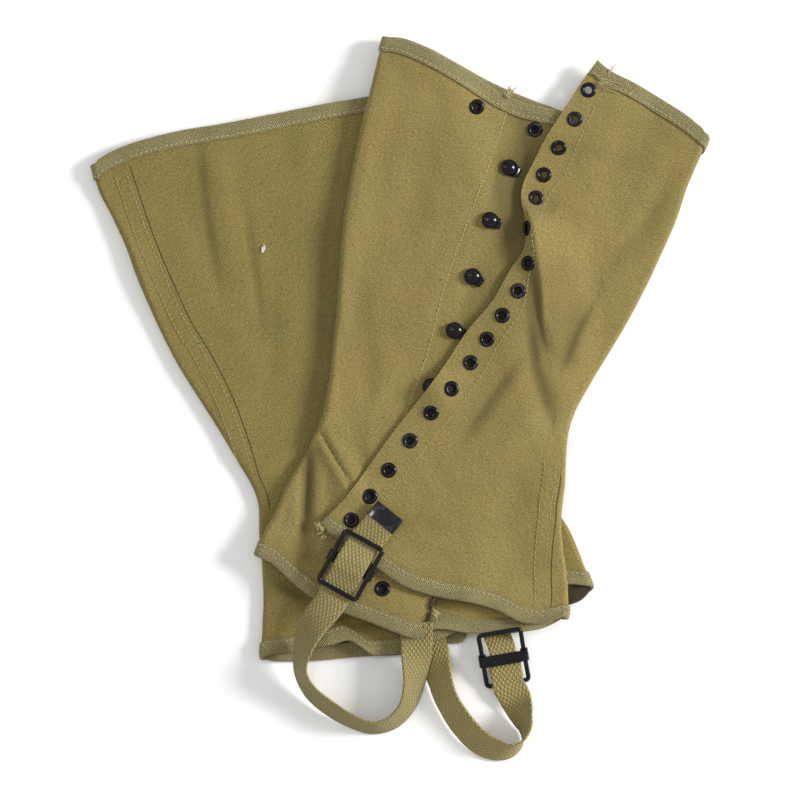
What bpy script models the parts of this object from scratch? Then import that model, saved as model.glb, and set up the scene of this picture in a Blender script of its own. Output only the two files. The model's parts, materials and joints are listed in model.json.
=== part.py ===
"""A pair of canvas gaiters, laid flat, one across the other, as a Blender model.

Each gaiter is a tube of canvas that lies collapsed: an under side, a roll at each edge and an
upper side. The crossing gaiter lies on top with its hook side and its eyelet flap upwards; the
lower one lies with its opening downwards. Canvas edges are bound with folded tape, and a webbing
strap with a sliding buckle goes under the boot.

Sizes are in millimetres in each gaiter's own plan: "across" runs to the right over the gaiter and
"up" from its hem to its rim. The finished points are turned and moved to their place, in metres,
with Z up and the surface that the pair lies on at Z = 0.
"""
import math
from collections import namedtuple

import bmesh
import bpy
import numpy as np
from mathutils import Vector

MM = 0.001
MIDDLE = Vector((-0.23, 0.70, 0.0))     # middle of the pair's outline, which becomes the origin

# Cloth, tape and webbing
CANVAS = 1.2            # thickness of the canvas wall
TAPE = 0.8              # thickness of the binding tape
SEAM_GAP = 0.35         # space left between pieces that touch
TAPE_WIDTH = 9.5        # binding tape, each side of the edge
CLOTH_INSET = TAPE + SEAM_GAP
TAPE_REACH = CANVAS / 2 + SEAM_GAP + TAPE
WEB_WIDTH = 20.4        # instep strap
WEB_THICK = 1.6
CHAPE_WIDTH = 17.0      # short web that holds the buckle
CHAPE_THICK = 1.2

# How the layers lie on each other
GAITER_HEIGHT = 335.0   # from hem to rim, the scale of the height shares
TUBE_GAP = 4.9          # between the middles of a tube's two walls
ON_TOP = CANVAS + 0.8   # from one wall's middle to that of a wall lying on it
FLAP_LIFT = 2.7         # of the eyelet flap over the hook facing
SEAM_INSIDE = 6.5       # least distance of a seam from the tube's edge
BUCKLE_A_HEIGHT = 23.8
BUCKLE_B_HEIGHT = 9.6

# Metal
WIRE = 2.6              # buckle frame wire
FRAME_WIDTH, FRAME_LENGTH = 29.6, 38.6
PLATE_LENGTH, PLATE_THICK = 7.5, 0.7
EYELET_HOLE, EYELET_OUTER, EYELET_HEIGHT = 2.0, 4.8, 1.2
HOOK_LENGTH, HOOK_WIDTH, HOOK_HEIGHT = 11.4, 9.8, 4.2
TIP_LENGTH, TIP_THICK = 10.0, 0.6

# Finishes, as sRGB colour, roughness and metallic value
CANVAS_FINISH = ("#8F8052", 0.9, 0.0)
FACING_FINISH = ("#8A7A4C", 0.9, 0.0)
TAPE_FINISH = ("#9A8F62", 0.88, 0.0)
WEB_FINISH = ("#93875A", 0.88, 0.0)
METAL_FINISH = ("#25262B", 0.32, 0.6)

# Where each gaiter's own origin lies (x, y) and how far it leans clockwise, in degrees
Place = namedtuple("Place", "x y lean")
PLACE_A = Place(7.6, -114.6, 15.0)
PLACE_B = Place(17.1, -140.7, -19.0)


def curve(rows):
    """A smooth function through rows of (position, value), level beyond both ends."""
    xs = np.array([row[0] for row in rows], float)
    ys = np.array([row[1] for row in rows], float)
    slopes = np.gradient(ys, xs)

    def read(x):
        x = np.clip(np.asarray(x, float), xs[0], xs[-1])
        i = np.clip(np.searchsorted(xs, x) - 1, 0, len(xs) - 2)
        span = xs[i + 1] - xs[i]
        f = (x - xs[i]) / span
        return ((1 + 2 * f) * (1 - f) ** 2 * ys[i] + f * (1 - f) ** 2 * span * slopes[i]
                + f * f * (3 - 2 * f) * ys[i + 1] + f * f * (f - 1) * span * slopes[i + 1])
    return read


def columns(rows, *picked):
    """The curves of the picked columns of a table, against its first column."""
    return [curve([(row[0], row[n]) for row in rows]) for n in picked]


def soft_step(low, high, x):
    f = min(max((x - low) / (high - low), 0.0), 1.0)
    return f * f * (3 - 2 * f)


# Gaiter A, the crossing one. Sides: up, left edge, right edge
A_SIDES = (
    (-12, -100.5, 100.5), (5, -98.5, 100.5), (20, -95.0, 97.0), (37, -92.5, 90.5),
    (53, -88.5, 84.0), (68, -85.0, 79.7), (84, -82.5, 78.0), (100, -83.0, 74.5),
    (112, -84.0, 72.6), (125, -86.0, 72.0), (140, -88.5, 74.2), (155, -91.0, 78.8),
    (175, -95.0, 84.3), (195, -98.7, 89.8), (215, -101.7, 94.5), (240, -104.0, 99.0),
    (265, -105.6, 102.8), (295, -106.0, 104.6), (318, -106.4, 109.0))
# Hems and rims: across, up
A_FRONT_HEM = ((-100.5, -9.7), (-88, -12.5), (-75, -19.4), (-59, -26.2), (-38, -30.5),
               (-22, -31.8), (0, -34.0), (9, -34.5), (17, -31.6))
A_BACK_HEM = ((-100.5, -9.7), (-88, -10.5), (-66, -19), (-38, -26), (0, -29), (17, -28),
              (21, -26), (43, -22.5), (57, -19), (70, -15), (75, -13), (93.5, -2.6), (100.5, 5.2))
A_FLAP_HEM = ((-65.3, 20.6), (-58, 15.5), (-47.7, 13), (-37, 8), (-21.4, 1.5), (-4.5, -4.2),
              (17, -5.3), (38, -3.4), (57, -3.8), (74, -7), (90, -2.2), (100.5, 5.2))
A_FRONT_RIM = ((-106.4, 326), (-104, 328), (-99, 329), (-89, 329), (-69, 326), (-48, 320),
               (-30.5, 314.5), (-19, 312), (12, 312), (40, 312))
A_BACK_RIM = ((-106.4, 326), (-104, 328.5), (-99, 330), (-80, 329), (-58, 324), (-37, 319),
              (-18, 316), (8, 313), (40, 311), (75, 311), (109, 317))
A_FLAP_RIM = ((28, 349), (34, 346), (55, 341), (76, 335), (98, 327), (105, 323), (109, 317))
# Up, across
A_STITCH_LINE = ((-34, -34), (96, -30.5), (146, -27), (183, -27.7), (215, -25.3), (245, -22.6),
                 (270, -20.1), (302, -18.5), (315, -19))
A_FLAP_EDGE = ((20.6, -65.3), (38, -55.5), (47, -51.5), (66, -44.2), (90, -35.1), (107.5, -27.5),
               (135, -16.3), (161, -7.6), (184, 3.1), (207, 9.3), (221, 14.1), (228, 13.9),
               (236, 12.1), (242, 9.1), (250, 4.7), (256, 3), (262.5, 2.9), (277, 5.9),
               (294, 9.4), (312, 15.2), (331, 21.1), (349, 28))
A_SEAM = ((-8, 88), (10.6, 87.4), (26, 83.6), (41.5, 80.5), (52, 79.3), (68, 78.8), (330, 120))
# The turned-back crest of the flap: up, across, height over the flap
A_CREST = (
    (-5, 0, 0), (40, 10, 0), (70, 30, 0), (95, 52, 0), (116, 61, 2), (135, 58.6, 4),
    (147, 55, 5.2), (164, 45.5, 7), (175.5, 39, 8.6), (200, 31.2, 11), (218, 22.5, 12.5),
    (228, 17.7, 13), (236, 14.2, 11), (242, 11.2, 6.4), (249, 9, 1.6), (258, 9, 0), (290, 20, 0),
    (320, 35, 0), (349, 45, 0))
CREST_FALL = 42.0       # how far the cloth takes to come down beyond the crest
FACING_WIDTH = 50.5     # hook facing, from the stitch line to its free edge

# Gaiter B, the lower one. Sides: up, left edge, right edge
B_SIDES = (
    (-14, -107.2, 106.6), (12, -107.1, 105.5), (27, -101.4, 104.3), (47, -93.4, 98.0),
    (60, -89.5, 94.0), (72, -86.0, 90.5), (87, -82.6, 87.0), (96, -79.5, 85.3),
    (105, -76.7, 84.2), (115, -76.6, 84.2), (136, -80.6, 87.0), (158, -85.2, 90.0),
    (180, -90.4, 94.0), (202, -95.6, 98.0), (223, -99.0, 101.0), (244, -101.2, 103.0),
    (265, -102.8, 104.0), (290, -103.4, 105.0), (308, -105.2, 106.4), (328, -107.8, 107.8),
    (339, -106.9, 107.8))
B_TOP_HEM = ((-107.1, 12.7), (-97.5, 12.3), (-85.6, 9.5), (-72, 8), (-61, 6), (-49, 3.8),
             (-44.8, -1.4), (-39.8, -8.4), (-35, -10), (-23, -13.5), (0, -12.5), (14, -12),
             (26, -8), (35, -6), (56, -9), (75, -9), (92, -6.5), (100, -9.6), (106.6, -13.2))
B_UNDER_HEM = ((-107.1, 12.7), (-104, 10.3), (-90.4, 4.6), (-72, -1), (-52.4, -5.8),
               (-35, -10.7), (-23, -14.5), (0, -14.5), (8, -17), (14, -19.5), (19, -18.5),
               (25, -12), (30, -8), (45, -9), (56, -11), (75, -15), (88.7, -19.4), (101, -17.3),
               (106.6, -13.2))
B_RIM = ((-106.9, 339), (-103.2, 344), (-98.6, 345.6), (-83, 347.6), (-63, 347), (-43.8, 345),
         (-24.7, 341.6), (13.6, 336), (52, 330.6), (73.7, 327), (107.8, 325))
B_SEAM = ((12, -106), (105, -73), (114, -71.8), (142, -69.9), (160, -69.8), (177, -70.6),
          (195, -73), (211.5, -75.9), (226, -79.3), (252, -82.2), (276, -84.1), (339, -84.4))
B_OPENING = 20.0        # across, where the two panels meet underneath

# Folds: start (across, up), end (across, up), half width, height; negative is a trough
Fold = namedtuple("Fold", "a0 up0 a1 up1 width height")
A_HOOK_SIDE_FOLDS = (
    Fold(-99, 300, -90, 150, 9, 1.4), Fold(-90, 105, -52, 46, 10, 3.0),
    Fold(-74, 88, -46, 58, 8, -1.2), Fold(-83, 60, -70, 0, 8, -1.4))
A_FLAP_FOLDS = (
    Fold(22, 208, 50, 158, 6, -1.6), Fold(27, 184, 62, 118, 7, -2.0),
    Fold(30, 156, 6, 88, 7, -1.0), Fold(63, 200, 55, 148, 7, -1.4))
B_FOLDS = (
    Fold(-36, 334, -56, 240, 9, -1.4), Fold(-26, 272, -36, 214, 8, -1.2),
    Fold(-102, 320, -97, 230, 7, 1.0))
B_ARCH = Fold(-66, 5, -46, 1, 12, 3.4)
B_ROOTS = Fold(-4, -12, 46, -12, 26, 1.7)       # room for strap and buckle web in the hem
A_ROOT = Fold(6, -30, 12, -28, 26, 2.2)         # room for the strap in the hem
HALF_HIDDEN_HOOK = Fold(-20, 123, -16, 121, 12, 5.2)

a_left, a_right = columns(A_SIDES, 1, 2)
b_left, b_right = columns(B_SIDES, 1, 2)
a_crest, a_crest_height = columns(A_CREST, 1, 2)
a_front_hem, a_back_hem, a_flap_hem = curve(A_FRONT_HEM), curve(A_BACK_HEM), curve(A_FLAP_HEM)
a_front_rim, a_back_rim, a_flap_rim = curve(A_FRONT_RIM), curve(A_BACK_RIM), curve(A_FLAP_RIM)
a_stitch, a_flap_edge, a_seam_line = curve(A_STITCH_LINE), curve(A_FLAP_EDGE), curve(A_SEAM)
b_top_hem, b_under_hem = curve(B_TOP_HEM), curve(B_UNDER_HEM)
b_rim, b_seam_line = curve(B_RIM), curve(B_SEAM)


def to_world(place, across, up):
    c, s = math.cos(math.radians(place.lean)), math.sin(math.radians(place.lean))
    return place.x + across * c + up * s, place.y - across * s + up * c


def to_plan(place, x, y):
    c, s = math.cos(math.radians(place.lean)), math.sin(math.radians(place.lean))
    return (x - place.x) * c - (y - place.y) * s, (x - place.x) * s + (y - place.y) * c


def fold_height(fold, across, up):
    """Height that one soft ridge or trough adds at a point; it fades out towards its ends."""
    da, du = fold.a1 - fold.a0, fold.up1 - fold.up0
    length = math.hypot(da, du)
    along = ((across - fold.a0) * da + (up - fold.up0) * du) / length
    aside = ((across - fold.a0) * du - (up - fold.up0) * da) / length
    past = max(-along, along - length, 0.0)
    return fold.height * math.exp(-(aside ** 2 + past ** 2) / fold.width ** 2)


def folds_height(folds, across, up):
    return sum(fold_height(fold, across, up) for fold in folds)


def bound_zone(from_edge):
    """1 where a bound edge makes the cloth thicker, fading to 0 further in."""
    return 1.0 - soft_step(11.0, 27.0, abs(from_edge))


def b_zone(across, up, hem):
    return max(bound_zone(up - float(hem(across))), bound_zone(float(b_rim(across)) - up))


def b_under_height(across, up):
    return CANVAS / 2 + CLOTH_INSET * b_zone(across, up, b_under_hem)


def b_calm_height(across, up):
    """The lower gaiter's upper wall without its folds, which carries the crossing gaiter."""
    return (b_under_height(across, up) + TUBE_GAP + fold_height(B_ARCH, across, up)
            + fold_height(B_ROOTS, across, up))


def b_top_height(across, up):
    return b_calm_height(across, up) + folds_height(B_FOLDS, across, up)


def over_b(x, y):
    """How far a point is inside the lower gaiter's outline, up to 1, and the height there."""
    across, up = to_plan(PLACE_B, x, y)
    inside = min(across - float(b_left(up)), float(b_right(up)) - across,
                 up - float(b_top_hem(across)), float(b_rim(across)) - up)
    share = soft_step(-54.0, -14.0, inside)
    carried = (b_calm_height(across, up) + ON_TOP
               + CLOTH_INSET * b_zone(across, up, b_top_hem))
    return share, carried


def a_back_height(across, up):
    share, carried = over_b(*to_world(PLACE_A, across, up))
    zone = max(bound_zone(up - float(a_back_hem(across))),
               bound_zone(float(a_back_rim(across)) - up))
    return (1 - share) * CANVAS / 2 + share * carried + CLOTH_INSET * zone


def a_front_height(across, up):
    return (a_back_height(across, up) + TUBE_GAP + fold_height(A_ROOT, across, up)
            + folds_height(A_HOOK_SIDE_FOLDS, across, up))


def crest_height(across, up):
    """The flap's turned-back crest: steep on its free side, soft beyond."""
    edge, crest = float(a_flap_edge(up)), float(a_crest(up))
    height = max(float(a_crest_height(up)), 0.0)
    if across <= crest:
        return height * soft_step(edge - 2.0, crest + 1.0, across)
    return height * (1 - soft_step(-1.0, CREST_FALL, across - crest))


def a_flap_height(across, up):
    facing_edge = float(a_stitch(up)) + FACING_WIDTH
    on_facing = 1 - soft_step(14.0, 40.0, across - facing_edge)
    own_zone = max(bound_zone(up - float(a_flap_hem(across))),
                   bound_zone(float(a_flap_rim(across)) - up))
    facing_zone = max(bound_zone(up - float(a_front_hem(across))),
                      bound_zone(float(a_front_rim(across)) - up))
    return (a_front_height(across, up) + on_facing * (FLAP_LIFT + CLOTH_INSET * facing_zone)
            + CLOTH_INSET * own_zone + crest_height(across, up)
            + fold_height(HALF_HIDDEN_HOOK, across, up)
            + folds_height(A_FLAP_FOLDS, across, up))


Face = namedtuple("Face", "hem rim height")
A_BACK = Face(a_back_hem, a_back_rim, a_back_height)
A_FRONT = Face(a_front_hem, a_front_rim, a_front_height)
A_FLAP = Face(a_flap_hem, a_flap_rim, a_flap_height)
B_TOP = Face(b_top_hem, b_rim, b_top_height)
B_UNDER = Face(b_under_hem, b_rim, b_under_height)


def on_face(face, across_at, share):
    """The point of a column, given by across_at(up), at a share of the height from the hem."""
    up = share * GAITER_HEIGHT
    for _ in range(8):
        across = float(across_at(up))
        up = (1 - share) * float(face.hem(across)) + share * float(face.rim(across))
    return across, up, face.height(across, up)


def flat_run(face, start, end, count, share):
    """Points from column start to column end over a face, both ends included."""
    def between(f):
        return lambda up: (1 - f) * start(up) + f * end(up)
    return [on_face(face, between(k / count), share) for k in range(count + 1)]


def roll_start(edge, side, upper, lower, share):
    """Where a face turns into the roll at the tube's edge, as a column; side is -1 or 1."""
    a, up, z = on_face(upper, lambda v: edge(v) - side * 3.0, share)
    radius = (z - lower.height(a, up)) / 2
    return lambda v: edge(v) - side * (radius + CANVAS / 2)


def roll(start, side, first, second, share, count):
    """Half a turn from the end of one face to the start of the other, ends left out."""
    a1, up1, z1 = on_face(first, start, share)
    a2, up2, z2 = on_face(second, start, share)
    points = []
    for k in range(1, count):
        turn = math.pi * k / count
        f = (1 - math.cos(turn)) / 2
        reach = abs(z1 - z2) / 2 * math.sin(turn)
        points.append((a1 + f * (a2 - a1) + side * reach, up1 + f * (up2 - up1),
                       z1 + f * (z2 - z1)))
    return points


def a_seam(up):
    return np.minimum(a_seam_line(up), a_right(up) - SEAM_INSIDE)


def b_seam(up):
    return np.maximum(b_seam_line(up), b_left(up) + SEAM_INSIDE)


def b_opening(up):
    return B_OPENING


def moved(column, distance):
    return lambda up: column(up) + distance


HALF_GAP = SEAM_GAP / 2


def flap_section(share):
    """Eyelet side of gaiter A: free edge, crest, seam."""
    outer = flat_run(A_FLAP, a_flap_edge, a_crest, 4, share)
    return outer[:-1] + flat_run(A_FLAP, a_crest, moved(a_seam, -HALF_GAP), 9, share)


def hook_side_section(share):
    """Hook side of gaiter A: seam, right edge, back, left edge, front up to the stitch line."""
    right = roll_start(a_right, 1, A_FLAP, A_BACK, share)
    left = roll_start(a_left, -1, A_FRONT, A_BACK, share)
    return (flat_run(A_FLAP, moved(a_seam, HALF_GAP), right, 1, share)
            + roll(right, 1, A_FLAP, A_BACK, share, 4)
            + flat_run(A_BACK, right, left, 11, share)
            + roll(left, -1, A_BACK, A_FRONT, share, 4)
            + flat_run(A_FRONT, left, moved(a_stitch, -HALF_GAP), 6, share))


def facing_section(share):
    return flat_run(A_FRONT, moved(a_stitch, HALF_GAP), moved(a_stitch, FACING_WIDTH), 4, share)


def b_outer_section(share):
    """Gaiter B's large panel: seam, upper side, right edge, under side up to the opening."""
    right = roll_start(b_right, 1, B_TOP, B_UNDER, share)
    return (flat_run(B_TOP, moved(b_seam, HALF_GAP), right, 14, share)
            + roll(right, 1, B_TOP, B_UNDER, share, 5)
            + flat_run(B_UNDER, right, moved(b_opening, HALF_GAP), 5, share))


def b_inner_section(share):
    """Gaiter B's other panel: opening, under side, left edge, strip up to the seam."""
    left = roll_start(b_left, -1, B_TOP, B_UNDER, share)
    return (flat_run(B_UNDER, moved(b_opening, -HALF_GAP), left, 8, share)
            + roll(left, -1, B_UNDER, B_TOP, share, 4)
            + flat_run(B_TOP, left, moved(b_seam, -HALF_GAP), 2, share))


def placed(place, points):
    """Plan points as world points, in millimetres."""
    return np.array([(*to_world(place, a, up), z) for a, up, z in points])


def linear(hex_colour):
    """An sRGB hex colour as a linear RGBA value."""
    parts = [int(hex_colour[n:n + 2], 16) / 255 for n in (1, 3, 5)]
    return [p / 12.92 if p <= 0.04045 else ((p + 0.055) / 1.055) ** 2.4 for p in parts] + [1.0]


def finish(obj, look):
    colour, roughness, metallic = look
    material = bpy.data.materials.new(obj.name + "_finish")
    material.use_nodes = True
    shader = material.node_tree.nodes["Principled BSDF"]
    shader.inputs["Base Color"].default_value = linear(colour)
    shader.inputs["Roughness"].default_value = roughness
    shader.inputs["Metallic"].default_value = metallic
    obj.data.materials.append(material)


def add_object(name, bm, look):
    bmesh.ops.recalc_face_normals(bm, faces=bm.faces)
    if bm.calc_volume(signed=True) < 0:
        bmesh.ops.reverse_faces(bm, faces=bm.faces)
    mesh = bpy.data.meshes.new(name)
    bm.to_mesh(mesh)
    bm.free()
    mesh.shade_smooth()
    mesh.set_sharp_from_angle(angle=math.radians(40))
    obj = bpy.data.objects.new(name, mesh)
    bpy.context.scene.collection.objects.link(obj)
    finish(obj, look)
    return obj


def split_quad(bm, low, low_next, high_next, high):
    """A four-cornered face as two triangles that share the edge from low to high_next."""
    bm.faces.new((low, low_next, high_next))
    bm.faces.new((low, high_next, high))


def to_metres(point):
    return (Vector(point) - MIDDLE) * MM


def rings_to_solid(name, rings, look, closed=False, rows=None):
    """Bridge rings of points, in millimetres, into one solid; closed joins last to first.

    rows says how far up the cloth each point of a ring lies, so that every face is split the
    same way as the panel's own.
    """
    bm = bmesh.new()
    verts = [[bm.verts.new(to_metres(p)) for p in ring] for ring in rings]
    count, size = len(verts), len(verts[0])
    for i in range(count if closed else count - 1):
        for j in range(size):
            k, n = (i + 1) % count, (j + 1) % size
            if rows and rows[n] < rows[j]:
                split_quad(bm, verts[i][n], verts[k][n], verts[k][j], verts[i][j])
            else:
                split_quad(bm, verts[i][j], verts[i][n], verts[k][n], verts[k][j])
    if not closed:
        for ring in (verts[0], verts[-1]):
            face = bm.faces.new(ring)
            face.normal_update()
            bmesh.ops.triangulate(bm, faces=[face])
    return add_object(name, bm, look)


def grid_normals(grid):
    """Unit normals of a grid of points."""
    normals = np.cross(np.gradient(grid, axis=1), np.gradient(grid, axis=0))
    return normals / np.linalg.norm(normals, axis=2, keepdims=True)


def wall_grid(place, section, rows):
    """A canvas panel's middle surface from hem to rim, and its normals.

    The first and the last row are the cloth's cut edges, the next ones where its tape ends.
    """
    edge, bound = CLOTH_INSET / GAITER_HEIGHT, TAPE_WIDTH / GAITER_HEIGHT
    shares = [edge, *(bound + (1 - 2 * bound) * k / rows for k in range(rows + 1)), 1 - edge]
    grid = np.array([placed(place, section(share)) for share in shares])
    return grid, grid_normals(grid)


def panel(name, grid, normals, look):
    """A canvas panel: its middle surface thickened to a wall."""
    offset = normals * CANVAS / 2
    bm = bmesh.new()
    layers = [[[bm.verts.new(to_metres(p)) for p in row] for row in side]
              for side in (grid + offset, grid - offset)]
    height, width = len(grid), len(grid[0])
    for layer in layers:
        for i in range(height - 1):
            for j in range(width - 1):
                split_quad(bm, layer[i][j], layer[i][j + 1], layer[i + 1][j + 1], layer[i + 1][j])
    outline = ([(0, j) for j in range(width - 1)] + [(i, width - 1) for i in range(height - 1)]
               + [(height - 1, j) for j in range(width - 1, 0, -1)]
               + [(i, 0) for i in range(height - 1, 0, -1)])
    for n, (i, j) in enumerate(outline):
        k, m = outline[(n + 1) % len(outline)]
        split_quad(bm, layers[0][i][j], layers[0][k][m], layers[1][k][m], layers[1][i][j])
    return add_object(name, bm, look)


def binding(name, grid, normals, at_rim):
    """Tape folded over a panel's hem or rim, made from the panel's points, moved out."""
    edge, next_row, edge_up = (-1, -2, 1) if at_rim else (0, 1, -1)
    inner = CANVAS / 2 + SEAM_GAP
    fold = TAPE_REACH / 2
    # On the edge row or not, distance along the normal, distance past the cut edge
    outline = ((False, TAPE_REACH, 0), (True, TAPE_REACH, SEAM_GAP), (True, fold, CLOTH_INSET),
               (True, -fold, CLOTH_INSET), (True, -TAPE_REACH, SEAM_GAP), (False, -TAPE_REACH, 0),
               (False, -inner, 0), (True, -inner, SEAM_GAP), (True, inner, SEAM_GAP),
               (False, inner, 0))
    rings = []
    for j, tangent in enumerate(np.gradient(grid[edge], axis=0)):
        outward = grid[edge][j] - grid[next_row][j]
        outward -= tangent * np.dot(outward, tangent) / np.dot(tangent, tangent)
        outward /= np.linalg.norm(outward)
        rings.append([grid[edge if on_edge else next_row][j] + outward * past
                      + normals[edge if on_edge else next_row][j] * out
                      for on_edge, out, past in outline])
    rows = [edge_up * on_edge for on_edge, _, _ in outline]
    return rings_to_solid(name, rings, TAPE_FINISH, rows=rows)


def face_frame(face, place, across, up, radius, lift=0.0):
    """A seat on a face: world point just clear of the cloth, and the axes of its plane."""
    def point(a, v):
        return np.array((*to_world(place, a, v), face.height(a, v)))
    step = 1.0
    side = point(across + step, up) - point(across - step, up)
    rise = point(across, up + step) - point(across, up - step)
    side /= np.linalg.norm(side)
    normal = np.cross(side, rise)
    normal /= np.linalg.norm(normal)
    rise = np.cross(normal, side)
    centre = point(across, up)
    proud = 0.0
    for k in range(12):
        turn = math.tau * k / 12
        shift = radius * (math.cos(turn) * side + math.sin(turn) * rise)
        a, v = to_plan(place, centre[0] + shift[0], centre[1] + shift[1])
        proud = max(proud, float(np.dot(point(a, v) - centre, normal)))
    seat = centre + normal * (proud + CANVAS / 2 + 1.5 * SEAM_GAP + lift)
    return seat, side, rise, normal


def turned(frame, profile, count, narrow=1.0):
    """Rings of a turned piece; profile rows are radius, height, shift to the side."""
    seat, side, rise, normal = frame
    rings = []
    for radius, height, shift in profile:
        ring = []
        for k in range(count):
            turn = math.tau * k / count
            ring.append(seat + normal * height
                        + side * (shift + radius * math.cos(turn))
                        + rise * narrow * radius * math.sin(turn))
        rings.append(ring)
    return rings


def eyelet(name, face, across, up, lift=0.0):
    """A rolled eyelet ring, seated on the cloth."""
    profile = ((EYELET_HOLE, 0.0, 0), (EYELET_HOLE, 0.7 * EYELET_HEIGHT, 0),
               (0.7 * EYELET_OUTER, EYELET_HEIGHT, 0), (EYELET_OUTER, 0.0, 0))
    frame = face_frame(face, PLACE_A, across, up, 1.15 * EYELET_OUTER, lift)
    return rings_to_solid(name, turned(frame, profile, 10), METAL_FINISH, closed=True)


def hook(name, across, up):
    """A lacing hook: base disc, neck set to one side, domed cap."""
    half = HOOK_LENGTH / 2
    profile = ((3.9, 0.0, 0), (3.9, 0.6, 0), (1.5, 0.9, 1.6), (1.5, 2.0, 1.6),
               (half * 0.94, 2.2, 0), (half, 2.7, 0), (half * 0.6, HOOK_HEIGHT, 0))
    frame = face_frame(A_FRONT, PLACE_A, across, up, 3.9)
    rings = turned(frame, profile, 10, HOOK_WIDTH / HOOK_LENGTH)
    return rings_to_solid(name, rings, METAL_FINISH)


# Flap eyelets: across, up, and what brings the ring down to, or up off, the bent cloth
FLAP_EYELETS = (
    (27.4, 329, -0.3), (23.9, 309, -0.2), (18.7, 289, 0), (14.0, 270, 0), (13.0, 254.5, 0.95),
    (14.4, 234.5, -0.15), (19.0, 213, 0.35), (17.2, 194.5, -0.1), (11.6, 177, 0), (6.2, 160, 0),
    (0.0, 143, 0.25), (-7.5, 124, -0.15), (-16, 106, -0.35), (-24.2, 85.5, -0.15), (-32.4, 64, 0),
    (-39.6, 45, 0), (-47.1, 27.5, -0.4))
# Other eyelets, and hooks: across, up
FRONT_EYELETS = ((-38.2, 300.5), (1.3, 296.5), (-16.8, -9.5))
HOOKS = ((-8.8, 268.5), (-11.8, 233), (-13.2, 196), (-15.3, 160), (-20.2, 122))


def ribbon(name, stations, width, thick, inner_left, steps=4):
    """A web along stations of (x, y, z, tilt); tilt turns its inner edge upwards.

    inner_left says whether the inner edge lies to the left of the way the web runs.
    """
    stations = np.array(stations, float)
    reads = [curve(list(enumerate(stations[:, n]))) for n in range(4)]
    ends = len(stations) - 1
    at = np.linspace(0, ends, ends * steps + 1)
    path = np.stack([read(at) for read in reads[:3]], axis=1)
    tilts = np.radians(reads[3](at))
    rings = []
    for point, along, tilt in zip(path, np.gradient(path, axis=0), tilts):
        along = along / np.linalg.norm(along)
        left = np.cross((0, 0, 1), along)
        left /= np.linalg.norm(left)
        inner = left if inner_left else -left
        upward = np.cross(along, left)
        across = inner * math.cos(tilt) + upward * math.sin(tilt)
        flat = np.cross(along, across)
        half, depth = width / 2, thick / 2
        rings.append([point + across * half + flat * depth, point - across * half + flat * depth,
                      point - across * half - flat * depth, point + across * half - flat * depth])
    return rings_to_solid(name, rings, WEB_FINISH)


class Seat:
    """A buckle's place: centre, turn in the plan, pitch of its top end, and which way up."""

    def __init__(self, centre, turn, pitch, face_up):
        t, p = math.radians(turn), math.radians(pitch)
        self.centre = np.array(centre, float)
        self.y = np.array((math.cos(t) * math.cos(p), math.sin(t) * math.cos(p), math.sin(p)))
        side = np.array((math.sin(t), -math.cos(t), 0.0))
        self.x = side if face_up else -side
        self.z = np.cross(self.x, self.y)

    def point(self, x, y, z):
        return self.centre + self.x * x + self.y * y + self.z * z

    def station(self, x, y, z, tilt=0.0):
        return (*self.point(x, y, z), tilt)


SEAT_A = Seat((-31.2, -104.1, BUCKLE_A_HEIGHT), 61.0, 0.0, True)
SEAT_B = Seat((65.6, -163.2, BUCKLE_B_HEIGHT), 100.0, 22.0, False)


def buckle_frame(name, seat):
    """A wire rectangle with rounded corners."""
    half_w, half_l, bend, sides = (FRAME_WIDTH - WIRE) / 2, (FRAME_LENGTH - WIRE) / 2, 2.2, 8
    rings = []
    for cx, cy, start in ((1, 1, 0), (-1, 1, 90), (-1, -1, 180), (1, -1, 270)):
        for k in range(4):
            turn = math.radians(start + 30 * k)
            out = np.array((math.cos(turn), math.sin(turn)))
            middle = np.array((cx * (half_w - bend), cy * (half_l - bend))) + bend * out
            ring = []
            for n in range(sides):
                round_wire = math.tau * (n + 0.5) / sides
                shift = WIRE / 2 * math.cos(round_wire)
                ring.append(seat.point(*(middle + out * shift), WIRE / 2 * math.sin(round_wire)))
            rings.append(ring)
    return rings_to_solid(name, rings, METAL_FINISH, closed=True)


def buckle_plate(name, seat):
    """The cross plate, its ends curled round the frame's long sides."""
    side = (FRAME_WIDTH - WIRE) / 2
    inner = WIRE / 2 + SEAM_GAP
    outer = inner + PLATE_THICK
    turns = [math.radians(-90 + 36 * k) for k in range(8)]
    right_out = [(side + outer * math.cos(t), outer * math.sin(t)) for t in turns]
    right_in = [(side + inner * math.cos(t), inner * math.sin(t)) for t in reversed(turns)]
    half = right_out + right_in
    outline = half + [(-x, z) for x, z in reversed(half)]
    rings = [[seat.point(x, y, z) for x, z in outline]
             for y in (-PLATE_LENGTH / 2, PLATE_LENGTH / 2)]
    return rings_to_solid(name, rings, METAL_FINISH)


# Chape of buckle A, in the buckle's own axes: y, z
CHAPE_A = ((-3.4, -0.7), (0, -0.7), (3.8, -0.7), (7, -1.8), (11, -3.3), (14, -4.3))


def on_hem(place, height, x, y):
    """Height of a web that lies on a bound hem inside the tube."""
    return height(*to_plan(place, x, y)) + TAPE_REACH + 1.5 * SEAM_GAP + WEB_THICK / 2


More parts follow.
